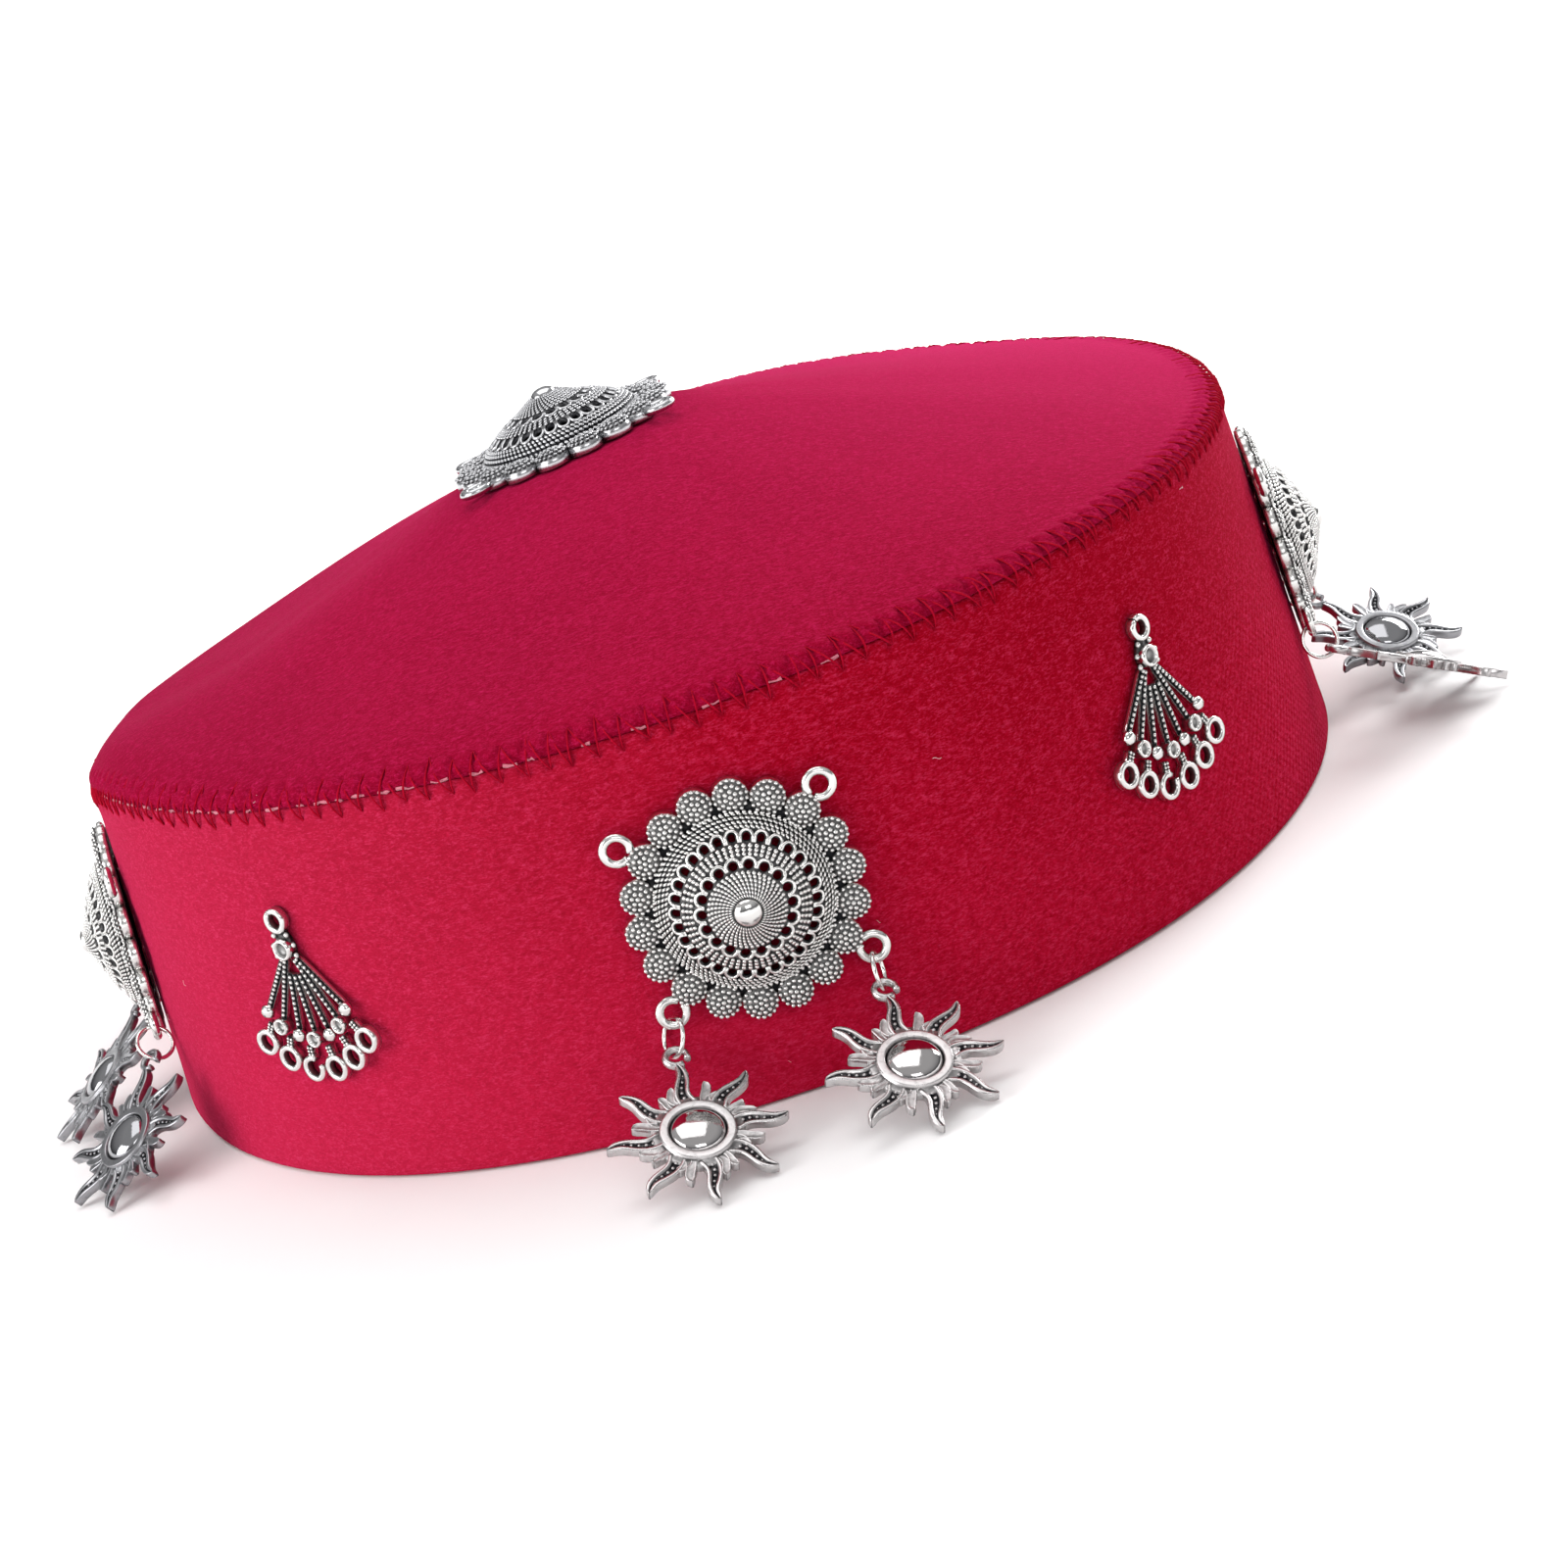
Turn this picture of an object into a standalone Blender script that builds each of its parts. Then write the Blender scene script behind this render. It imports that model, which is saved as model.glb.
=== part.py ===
"""A round velvet hat with cast silver ornaments, standing on its rim.

Metres, +Z up. The origin is the centre of the rim's plane and the front of the hat faces -Y.
A hat angle is in degrees round the hat: 0 at the front, 90 at +X, 180 at the back.
"""

import math
from collections import namedtuple

import bmesh
import bpy
from mathutils import Matrix, Vector

# Hat plan, band and crown
RIM_HALF_WIDTH = 0.0880
RIM_HALF_LENGTH = 0.0948
PLAN_ROUNDNESS = 2.16
BAND_HEIGHT = 0.0495
BAND_LEAN = 0.0026
BAND_WALL = 0.0025
CROWN_WALL = 0.0020
CROWN_RISE = 0.0195
SEAT_SHIFT_X = -0.0050
SEAT_SHIFT_Y = -0.0058
SEAT_SLOPE_X = 0.1030
SEAT_SLOPE_Y = -0.0200
SEAT_MARGIN = 0.0006
HAT_SIDES = 36
SEWN_GAP = 0.0003

# Medallion, a dome of filigree inside a ring of petals
PETAL_COUNT = 18
PETAL_RING_RADIUS = 0.0130
PETAL_RADIUS = 0.0022
MEDALLION_HEIGHT = 0.0080
MEDALLION_WALL = 0.0011
MEDALLION_EDGE = 0.0015
CAP_RADIUS = 0.0018
CAP_HEIGHT = 0.0010
HOLE_PART = 0.5
LOOP_RADIUS = 0.0016
LOOP_WIRE = 0.00042
LOOP_LEVEL = 0.0010
LOOP_BITE = 0.0001
LOOP_ANGLES = (-140, -40, 40, 140)
CROWN_MEDALLION_TWIST = 5.5
CROWN_MEDALLION_SCALE = 1.09

# Jump ring and sun drop
RING_RADIUS = 0.00250
RING_WIRE = 0.00030
LINK_GAP = 0.00030
SUN_RAYS = 8
SUN_TIP_RADIUS = 0.0109
SUN_RING_RADIUS = 0.00454
SUN_RING_WIDTH = 0.0009
SUN_THICKNESS = 0.0012
SUN_RING_PROUD = 0.00035
SUN_DOME_PROUD = 0.0012
SUN_LOOP_RADIUS = 0.00137
SUN_LOOP_WIRE = 0.00034
SUN_LOOP_REACH = 0.0127
SUN_NECK_WIDTH = 0.0010
SUN_FLOOR_GAP = 0.0001
SUN_LEAN_LIMIT = 80.0

# Fan charm, measured from the centre of its top loop
CHARM_THICKNESS = 0.0013
CHARM_LOOP_OUTER = 0.00175
CHARM_LOOP_HOLE = 0.0010
CHARM_CUP_DROP = 0.00375
CHARM_CUP_RADIUS = 0.00145
CHARM_CUP_PROUD = 0.0006
CHARM_SHOULDER = 0.0022
CHARM_STRANDS = 7
CHARM_STRAND_STEP = 13.3
CHARM_STRAND_WIDTH = 0.0009
CHARM_STRAND_REACH = 0.0113
CHARM_BEAD_RADIUS = 0.00105
CHARM_RINGS = 6
CHARM_RING_STEP = 14.1
CHARM_RING_REACH = 0.0172
CHARM_RING_RISE = 0.0013
CHARM_RING_OUTER = 0.00165
CHARM_RING_HOLE = 0.00095
CHARM_RING_ROOT = 0.0146

ROUND_SIDES = 10
LOOP_SIDES = 8
WIRE_SIDES = 5
HOLE_SIDES = 6

# The seam round the hat: height is a share of BAND_HEIGHT, puff goes from a flat edge to a full shoulder,
# and lean is the wall's lean there as a share of BAND_LEAN
Seam = namedtuple("Seam", "place angle height puff lean")
SEAM = (
    Seam("front", 0, 1.010, 0.30, 1.0),
    Seam("front right", 45, 1.022, 0.15, 1.0),
    Seam("right", 90, 0.992, 0.05, 1.0),
    Seam("back right", 135, 0.978, 0.10, 1.0),
    Seam("back", 180, 1.050, 0.20, 1.0),
    Seam("back left", 235, 0.810, 0.80, 1.45),
    Seam("left", 270, 0.857, 1.00, 1.60),
    Seam("left front", 300, 1.010, 0.85, 1.30),
    Seam("front left", 330, 1.024, 0.45, 1.0),
)

# The crown from its seat to its seam: across is the share of the way out
CROWN_RINGS = (0.0, 0.42, 0.64, 0.84, 0.92, 0.97, 1.0)
CROWN_INNER_RINGS = (0.0, 0.42, 0.64, 0.84, 0.92, 1.0)
SLOPE_EASE = 0.60
SLOPE_FALL = 0.90
SHOULDER_START = 0.88
SHOULDER_FALL = 0.42

# The medallion's dome: radius is a share of PETAL_RING_RADIUS, height one of MEDALLION_HEIGHT
Dome = namedtuple("Dome", "place radius height")
DOME_HOLE_NEAR = Dome("near end of the holes", 0.32, 0.71)
DOME_HOLE_FAR = Dome("far edge of the holes", 0.46, 0.61)
DOME_SHOULDER = Dome("shoulder of the dome", 0.73, 0.40)
DOME_FOOT = Dome("foot of the dome", 0.83, 0.19)
DOME_HOLLOW = Dome("edge of the hollow below", 0.80, 0.0)
DOME_PETAL = Dome("top of a petal", 1.00, 0.31)

# One ray and one short ray of the sun: turn in parts of a ray's pitch, reach a share of SUN_TIP_RADIUS
Ray = namedtuple("Ray", "place turn reach")
SUN_OUTLINE = (
    Ray("valley before the ray", -0.29, 0.47),
    Ray("tip of the ray", 0.065, 1.00),
    Ray("bend of the ray", 0.15, 0.72),
    Ray("valley after the ray", 0.29, 0.47),
    Ray("tip of the short ray", 0.50, 0.70),
)

# Medallions on the band: hat angle in degrees and height of the centre
Place = namedtuple("Place", "name angle height")
MEDALLION_LEVEL = 0.0264
MEDALLIONS = (
    Place("front", 3.0, MEDALLION_LEVEL),
    Place("right", 83.0, MEDALLION_LEVEL),
    Place("back", 183.0, MEDALLION_LEVEL),
    Place("left", -73.0, MEDALLION_LEVEL),
)

# Sun drops: the medallion and loop that carry each, the hat angle it points to and its roll, and how its
# ring hangs, leaning out from the wall, swung along it and turned about its own length
Drop = namedtuple("Drop", "name medallion loop heading roll ring_lean ring_swing ring_turn")
DROPS = (
    Drop("front_left", "front", -140, 4.0, 12, 20, -18, 154),
    Drop("front_right", "front", -40, 5.5, 12, 28, -5, 13),
    Drop("left_back", "left", -140, -30.0, -24, 30, 41, 150),
    Drop("left_front", "left", -40, -22.0, -14, 23, 52, 158),
    Drop("right_front", "right", -140, 78.0, 18, 24, -18, 162),
    Drop("right_back", "right", -40, 43.0, -3, 30, -18, 29),
    Drop("back_left", "back", -40, 178.0, 8, 30, -14, 17),
    Drop("back_right", "back", -140, 184.0, -8, 30, 4, 172),
)

# Charms on the band: hat angle and height of the top loop, and how far the charm hangs askew
Charm = namedtuple("Charm", "name angle height tilt")
CHARM_LEVEL = 0.0365
CHARMS = (
    Charm("front_right", 40.9, CHARM_LEVEL, -6.5),
    Charm("front_left", -34.6, CHARM_LEVEL, 0.5),
    Charm("back_right", 133.0, CHARM_LEVEL, 3.0),
    Charm("back_left", -125.0, CHARM_LEVEL, 4.0),
)

# Colour, roughness and metallic value of each kind of piece
VELVET = ((0.42, 0.008, 0.030, 1.0), 0.9, 0.0)
CROWN_VELVET = ((0.40, 0.010, 0.045, 1.0), 0.9, 0.0)
CAST_SILVER = ((0.52, 0.51, 0.50, 1.0), 0.35, 1.0)
BRIGHT_SILVER = ((0.78, 0.77, 0.75, 1.0), 0.15, 1.0)

PETAL_OUTER = PETAL_RING_RADIUS + PETAL_RADIUS
LOOP_CENTRE = PETAL_OUTER + LOOP_RADIUS - LOOP_BITE
SEAT_RADIUS = CROWN_MEDALLION_SCALE * PETAL_OUTER + SEAT_MARGIN
SEAT_HEIGHT = BAND_HEIGHT + CROWN_RISE


def clear_scene():
    for old in list(bpy.data.objects):
        bpy.data.objects.remove(old, do_unlink=True)


def make_material(name, finish):
    colour, roughness, metallic = finish
    material = bpy.data.materials.new(name)
    material.use_nodes = True
    shader = material.node_tree.nodes["Principled BSDF"]
    shader.inputs["Base Color"].default_value = colour
    shader.inputs["Roughness"].default_value = roughness
    shader.inputs["Metallic"].default_value = metallic
    return material


def finish_mesh(name, bm, sharp_angle=35.0):
    """Close a bmesh into a mesh with its faces pointing out."""
    bmesh.ops.recalc_face_normals(bm, faces=bm.faces)
    mesh = bpy.data.meshes.new(name)
    bm.to_mesh(mesh)
    bm.free()
    mesh.shade_smooth()
    mesh.set_sharp_from_angle(angle=math.radians(sharp_angle))
    return mesh


def place_piece(name, mesh, material, matrix=None):
    """One named object; copies of a piece share its mesh."""
    if not mesh.materials:
        mesh.materials.append(material)
    piece = bpy.data.objects.new(name, mesh)
    if matrix is not None:
        piece.matrix_world = matrix
    bpy.context.collection.objects.link(piece)
    return piece


def fuse(name, base_mesh, added_mesh):
    """Join closed meshes that overlap into one closed mesh."""
    base = place_piece(name, base_mesh, None)
    added = place_piece(name + "_added", added_mesh, None)
    union = base.modifiers.new("Union", "BOOLEAN")
    union.operation = "UNION"
    union.solver = "EXACT"
    union.object = added
    depsgraph = bpy.context.evaluated_depsgraph_get()
    joined = bpy.data.meshes.new_from_object(base.evaluated_get(depsgraph))
    joined.name = name
    joined.materials.clear()
    for helper in (base, added):
        bpy.data.objects.remove(helper, do_unlink=True)
    joined.shade_smooth()
    joined.set_sharp_from_angle(angle=math.radians(35.0))
    return joined


def add_ring(bm, radius, height, count, start=0.0):
    """A closed ring of points round Z; start is in degrees."""
    turns = [math.radians(start + 360.0 * i / count) for i in range(count)]
    return [bm.verts.new((radius * math.cos(t), radius * math.sin(t), height)) for t in turns]


def add_strip(bm, first, second):
    """Quads between two rings with as many points."""
    count = len(first)
    for i in range(count):
        j = (i + 1) % count
        bm.faces.new((first[i], first[j], second[j], second[i]))


def add_fan(bm, ring, tip):
    pole = bm.verts.new(tip)
    for i, vert in enumerate(ring):
        bm.faces.new((vert, ring[(i + 1) % len(ring)], pole))


def add_zip(bm, first, second):
    """Triangles between two rings round Z whose points differ in number."""
    start = math.atan2(first[0].co.y, first[0].co.x)

    def turn(vert):
        return (math.atan2(vert.co.y, vert.co.x) - start + 1e-6) % math.tau

    near = sorted(first, key=turn)
    far = sorted(second, key=turn)
    near_turns = [turn(v) for v in near] + [math.tau + turn(near[0])]
    far_turns = [turn(v) for v in far] + [math.tau + turn(far[0])]
    i = 0
    j = 0
    while i < len(near) or j < len(far):
        step_near = j == len(far) or (i < len(near) and near_turns[i + 1] <= far_turns[j + 1])
        a = near[i % len(near)]
        b = far[j % len(far)]
        if step_near:
            i += 1
            bm.faces.new((a, near[i % len(near)], b))
        else:
            j += 1
            bm.faces.new((a, far[j % len(far)], b))


def add_torus(bm, radius, wire, centre, sides):
    """A wire loop that lies in the XY plane round its centre."""
    rings = []
    for i in range(sides):
        t = math.tau * i / sides
        out = Vector((math.cos(t), math.sin(t), 0.0))
        ring = []
        for k in range(WIRE_SIDES):
            w = math.tau * k / WIRE_SIDES
            offset = out * (radius + wire * math.cos(w)) + Vector((0.0, 0.0, wire * math.sin(w)))
            ring.append(bm.verts.new(centre + offset))
        rings.append(ring)
    for i in range(sides):
        add_strip(bm, rings[i], rings[(i + 1) % sides])


def add_turned(bm, profile, sides, centre):
    """A closed turned shape; the profile runs from the axis below to the axis above."""
    rings = []
    for radius, height in profile[1:-1]:
        ring = add_ring(bm, radius, height, sides)
        for vert in ring:
            vert.co += centre
        rings.append(ring)
    for lower, upper in zip(rings, rings[1:]):
        add_strip(bm, lower, upper)
    add_fan(bm, rings[0], centre + Vector((0.0, 0.0, profile[0][1])))
    add_fan(bm, rings[-1], centre + Vector((0.0, 0.0, profile[-1][1])))


def add_plate(bm, outlines, bottom, top):
    """A flat plate from its outline and the outlines of its holes."""
    edges = []
    for outline in outlines:
        verts = [bm.verts.new((x, y, bottom)) for x, y in outline]
        for i, vert in enumerate(verts):
            edges.append(bm.edges.new((vert, verts[(i + 1) % len(verts)])))
    filled = bmesh.ops.triangle_fill(bm, use_beauty=True, use_dissolve=False, edges=edges)
    faces = [item for item in filled["geom"] if isinstance(item, bmesh.types.BMFace)]
    raised = bmesh.ops.extrude_face_region(bm, geom=faces, use_keep_orig=True)
    lifted = [item for item in raised["geom"] if isinstance(item, bmesh.types.BMVert)]
    bmesh.ops.translate(bm, verts=lifted, vec=(0.0, 0.0, top - bottom))


def round_outline(x, y, radius, sides):
    turns = [math.tau * i / sides for i in range(sides)]
    return [(x + radius * math.cos(t), y + radius * math.sin(t)) for t in turns]


def hat_direction(angle):
    turn = math.radians(angle)
    return Vector((math.sin(turn), -math.cos(turn), 0.0))


def plan_point(angle, height, inset=0.0):
    """A point of the band's outer face, or of a face that lies further in."""
    way = hat_direction(angle)
    lean = BAND_LEAN * seam_value(angle, "lean") * height / BAND_HEIGHT + inset
    across = abs(way.x / (RIM_HALF_WIDTH - lean)) ** PLAN_ROUNDNESS
    along = abs(way.y / (RIM_HALF_LENGTH - lean)) ** PLAN_ROUNDNESS
    point = way * (across + along) ** (-1.0 / PLAN_ROUNDNESS)
    point.z = height
    return point


def seam_value(angle, column):
    """A column of the seam's table at any hat angle, as a smooth closed curve."""
    rows = len(SEAM)
    angle %= 360.0
    row = max(i for i in range(rows) if SEAM[i].angle <= angle)

    def station(i):
        laps, k = divmod(i, rows)
        return SEAM[k].angle + 360.0 * laps, getattr(SEAM[k], column)

    (a0, v0), (a1, v1), (a2, v2), (a3, v3) = [station(row + k) for k in (-1, 0, 1, 2)]
    span = a2 - a1
    f = (angle - a1) / span
    slope_in = (v2 - v0) / (a2 - a0) * span
    slope_out = (v3 - v1) / (a3 - a1) * span
    value = v1 * (2 * f**3 - 3 * f**2 + 1) + v2 * (3 * f**2 - 2 * f**3)
    return value + slope_in * (f**3 - 2 * f**2 + f) + slope_out * (f**3 - f**2)


def seam_height(angle):
    return BAND_HEIGHT * seam_value(angle, "height")


def seat_level(x, y):
    return SEAT_HEIGHT + SEAT_SLOPE_X * (x - SEAT_SHIFT_X) + SEAT_SLOPE_Y * (y - SEAT_SHIFT_Y)


def shoulder_fall(across):
    """Share of the fall to the seam on a fully puffed side: a slope that eases, then a round shoulder."""
    if across <= SLOPE_EASE:
        return SLOPE_FALL * across
    eased = SLOPE_FALL * SLOPE_EASE
    if across <= SHOULDER_START:
        return eased + SHOULDER_FALL * (across - SLOPE_EASE)
    u = (across - SHOULDER_START) / (1.0 - SHOULDER_START)
    begun = eased + SHOULDER_FALL * (SHOULDER_START - SLOPE_EASE)
    rest = 1.0 - begun
    straight = SHOULDER_FALL * (1.0 - SHOULDER_START)
    return begun + straight * u + (rest - straight) * (1.0 - math.sqrt(1.0 - u * u))


def crown_point(angle, across):
    """A point of the crown's outer face between its seat and its seam."""
    seam = plan_point(angle, seam_height(angle) + SEWN_GAP)
    seat = Vector((SEAT_SHIFT_X, SEAT_SHIFT_Y, 0.0)) + SEAT_RADIUS * hat_direction(angle)
    seat.z = seat_level(seat.x, seat.y)
    puff = min(1.0, max(0.0, seam_value(angle, "puff")))
    fall = (1.0 - puff) * across + puff * shoulder_fall(across)
    point = seat.lerp(seam, across)
    point.z = seat.z + (seam.z - seat.z) * fall
    return point


def crown_inner_point(angle, across):
    """The crown's inner face: one wall below the outer one, and level with it at the sewn edge."""
    if across == 1.0:
        seam = seam_height(angle) + SEWN_GAP
        return plan_point(angle, seam, CROWN_WALL)
    small = 0.004
    around = crown_point(angle + 1.0, across) - crown_point(angle - 1.0, across)
    outward = crown_point(angle, across + small) - crown_point(angle, max(0.0, across - small))
    normal = outward.cross(around).normalized()
    if normal.z < 0.0:
        normal.negate()
    return crown_point(angle, across) - CROWN_WALL * normal


def build_band():
    """An upright wall whose top edge follows the seam."""
    bm = bmesh.new()
    angles = [360.0 * i / HAT_SIDES for i in range(HAT_SIDES)]

    def ring(share, inset):
        return [bm.verts.new(plan_point(a, seam_height(a) * share, inset)) for a in angles]

    outer = [ring(share, 0.0) for share in (0.0, 0.5, 1.0)]
    inner = [ring(share, BAND_WALL) for share in (1.0, 0.0)]
    rings = outer + inner
    for lower, upper in zip(rings, rings[1:] + rings[:1]):
        add_strip(bm, lower, upper)
    return finish_mesh("band", bm)


def build_crown():
    """A shell that falls from a flat seat to the seam, with a rounded shoulder where it is puffed."""
    bm = bmesh.new()
    angles = [360.0 * i / HAT_SIDES for i in range(HAT_SIDES)]
    outer = [[bm.verts.new(crown_point(a, c)) for a in angles] for c in CROWN_RINGS]
    inner = [[bm.verts.new(crown_inner_point(a, c)) for a in angles] for c in CROWN_INNER_RINGS]
    centre = Vector((SEAT_SHIFT_X, SEAT_SHIFT_Y, SEAT_HEIGHT))
    add_fan(bm, outer[0], centre)
    add_fan(bm, inner[0], centre - Vector((0.0, 0.0, CROWN_WALL)))
    for rings in (outer, inner):
        for near, far in zip(rings, rings[1:]):
            add_strip(bm, near, far)
    add_strip(bm, outer[-1], inner[-1])
    return finish_mesh("crown", bm)


def petal_outline():
    """Radius and angle of the points round the petals: a valley, then two corners, for each petal."""
    pitch = 360.0 / PETAL_COUNT
    valley = PETAL_RING_RADIUS * math.cos(math.radians(pitch / 2.0))
    corner = PETAL_OUTER - 0.06 * PETAL_RADIUS
    half = math.degrees(0.54 * PETAL_RADIUS / corner)
    points = []
    for i in range(PETAL_COUNT):
        middle = i * pitch
        points += [(valley, middle - pitch / 2.0), (corner, middle - half), (corner, middle + half)]
    return points


def build_medallion_body():
    """The cast dome: a round cap on a hollow filigree cone, open holes, and a ring of petals."""
    bm = bmesh.new()
    pitch = 360.0 / PETAL_COUNT
    hole_half = pitch * HOLE_PART / 2.0

    def dome_ring(row, count, start, drop=0.0):
        height = row.height * MEDALLION_HEIGHT - drop
        return add_ring(bm, row.radius * PETAL_RING_RADIUS, height, count, start)

    def hole_ring(drop=0.0):
        verts = []
        radius = DOME_HOLE_FAR.radius * PETAL_RING_RADIUS
        height = DOME_HOLE_FAR.height * MEDALLION_HEIGHT - drop
        for i in range(PETAL_COUNT):
            for side in (-1.0, 1.0):
                t = math.radians(i * pitch + side * hole_half)
                verts.append(bm.verts.new((radius * math.cos(t), radius * math.sin(t), height)))
        return verts

    cap_top = add_ring(bm, 0.60 * CAP_RADIUS, MEDALLION_HEIGHT - 0.20 * CAP_HEIGHT, ROUND_SIDES)
    cap_edge = add_ring(bm, CAP_RADIUS, MEDALLION_HEIGHT - CAP_HEIGHT, ROUND_SIDES)
    near = dome_ring(DOME_HOLE_NEAR, PETAL_COUNT, 0.0)
    far = hole_ring()
    shoulder = dome_ring(DOME_SHOULDER, PETAL_COUNT, -pitch / 2.0)
    foot = dome_ring(DOME_FOOT, PETAL_COUNT, -pitch / 2.0)
    near_below = dome_ring(DOME_HOLE_NEAR, PETAL_COUNT, 0.0, MEDALLION_WALL)
    far_below = hole_ring(MEDALLION_WALL)
    hollow = dome_ring(DOME_HOLLOW, PETAL_COUNT, -pitch / 2.0)
    outline = petal_outline()

    def edge_ring(height):
        turns = [(r, math.radians(a)) for r, a in outline]
        return [bm.verts.new((r * math.cos(t), r * math.sin(t), height)) for r, t in turns]

    edge = edge_ring(MEDALLION_EDGE)
    edge_below = edge_ring(0.0)

    add_fan(bm, cap_top, (0.0, 0.0, MEDALLION_HEIGHT))
    add_strip(bm, cap_top, cap_edge)
    add_zip(bm, near, cap_edge)
    for i in range(PETAL_COUNT):
        j = (i + 1) % PETAL_COUNT
        first = 2 * i
        second = 2 * i + 1
        following = (2 * i + 2) % len(far)
        for inside, outside in ((near, far), (near_below, far_below)):
            bm.faces.new((inside[i], inside[j], outside[following], outside[second]))
        bm.faces.new((near[i], far[first], far_below[first], near_below[i]))
        bm.faces.new((near[i], far[second], far_below[second], near_below[i]))
        bm.faces.new((far[first], far[second], far_below[second], far_below[first]))
    add_zip(bm, far, shoulder)
    add_strip(bm, shoulder, foot)
    peak_height = DOME_PETAL.height * MEDALLION_HEIGHT
    for i in range(PETAL_COUNT):
        t = math.radians(i * pitch)
        middle = DOME_PETAL.radius * PETAL_RING_RADIUS
        peak = (middle * math.cos(t), middle * math.sin(t), peak_height)
        following = (i + 1) % PETAL_COUNT
        corners = [edge[(3 * i + k) % len(edge)] for k in range(4)]
        add_fan(bm, [foot[i]] + corners + [foot[following]], peak)
    add_strip(bm, edge, edge_below)
    add_zip(bm, edge_below, hollow)
    add_zip(bm, far_below, hollow)
    add_fan(bm, near_below, (0.0, 0.0, MEDALLION_HEIGHT - CAP_HEIGHT - MEDALLION_WALL))
    return finish_mesh("medallion_body", bm)


def build_medallion():
    """The dome with its four cast loops soldered to petals."""
    bm = bmesh.new()
    for angle in LOOP_ANGLES:
        t = math.radians(angle)
        centre = Vector((LOOP_CENTRE * math.cos(t), LOOP_CENTRE * math.sin(t), LOOP_LEVEL))
        add_torus(bm, LOOP_RADIUS, LOOP_WIRE, centre, LOOP_SIDES)
    return fuse("medallion", build_medallion_body(), finish_mesh("medallion_loops", bm))


def build_jump_ring():
    bm = bmesh.new()
    add_torus(bm, RING_RADIUS, RING_WIRE, Vector((0.0, 0.0, 0.0)), ROUND_SIDES)
    return finish_mesh("jump_ring", bm, 80.0)


def sun_outline():
    """The star's outline; its first ray ends in a blunt neck that reaches the loop."""
    pitch = 360.0 / SUN_RAYS
    neck_reach = SUN_LOOP_REACH - SUN_LOOP_RADIUS
    points = []
    for i in range(SUN_RAYS):
        for row in SUN_OUTLINE:
            t = math.radians(90.0 + pitch * (i + row.turn))
            if i == 0 and row.reach == 1.0:
                half = SUN_NECK_WIDTH / 2.0
                points += [(half, neck_reach), (-half, neck_reach)]
            else:
                reach = row.reach * SUN_TIP_RADIUS
                points.append((reach * math.cos(t), reach * math.sin(t)))
    return points


def build_sun():
    """A star plate with a raised ring, a polished dome inside it and a loop above its first ray."""
    half = SUN_THICKNESS / 2.0
    plate = bmesh.new()
    add_plate(plate, [sun_outline()], -half, half)
    added = bmesh.new()
    inner = SUN_RING_RADIUS - SUN_RING_WIDTH
    ring_top = half + SUN_RING_PROUD
    dome_top = half + SUN_DOME_PROUD
    profile = (
        (0.0, 0.0),
        (SUN_RING_RADIUS, 0.0),
        (SUN_RING_RADIUS, ring_top),
        (inner, ring_top),
        (0.0, dome_top),
    )
    add_turned(added, profile, ROUND_SIDES, Vector((0.0, 0.0, 0.0)))
    add_torus(added, SUN_LOOP_RADIUS, SUN_LOOP_WIRE, Vector((0.0, SUN_LOOP_REACH, 0.0)), ROUND_SIDES)
    return fuse("sun", finish_mesh("sun_plate", plate), finish_mesh("sun_added", added))


def fan_point(angle, reach):
    """A point of the charm's fan: degrees from straight down, and reach from the middle of the cup."""
    t = math.radians(angle)
    return (reach * math.sin(t), -CHARM_CUP_DROP - reach * math.cos(t))


def charm_ring_places():
    """Centre and fan angle of each of the small rings along the charm's lower edge."""
    last = CHARM_RING_STEP * (CHARM_RINGS - 1) / 2.0
    places = []
    for i in range(CHARM_RINGS):
        angle = -last + CHARM_RING_STEP * i
        reach = CHARM_RING_REACH - CHARM_RING_RISE * abs(angle) / last
        places.append((angle, fan_point(angle, reach)))
    return places


def charm_outline():
    """The charm's edge, from its top loop down the left side, along the rings and up the right side."""
    loop_turns = [-50.0 + 280.0 * i / 6 for i in range(7)]
    points = []
    for turn in loop_turns:
        t = math.radians(turn)
        points.append((CHARM_LOOP_OUTER * math.cos(t), CHARM_LOOP_OUTER * math.sin(t)))
    outer_strand = CHARM_STRAND_STEP * (CHARM_STRANDS - 1) / 2.0
    bead_half = math.degrees(CHARM_BEAD_RADIUS / CHARM_STRAND_REACH)
    bead_top = fan_point(outer_strand + bead_half, CHARM_STRAND_REACH - 0.6 * CHARM_BEAD_RADIUS)
    bead_foot = fan_point(outer_strand + bead_half, CHARM_STRAND_REACH + 0.6 * CHARM_BEAD_RADIUS)
    shoulder_top = (CHARM_SHOULDER, -CHARM_CUP_DROP + 0.7 * CHARM_CUP_RADIUS)
    shoulder_foot = (CHARM_SHOULDER, -CHARM_CUP_DROP - 0.8 * CHARM_CUP_RADIUS)
    side = [shoulder_top, shoulder_foot, bead_top, bead_foot]
    points += [(-x, y) for x, y in side]
    places = charm_ring_places()
    for i, (angle, (x, y)) in enumerate(places):
        for swing in (-60.0, 0.0, 60.0):
            t = math.radians(angle + swing)
            points.append((x + CHARM_RING_OUTER * math.sin(t), y - CHARM_RING_OUTER * math.cos(t)))
        if i + 1 < len(places):
            points.append(fan_point((angle + places[i + 1][0]) / 2.0, CHARM_RING_ROOT))
    points += reversed(side)
    return points


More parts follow.
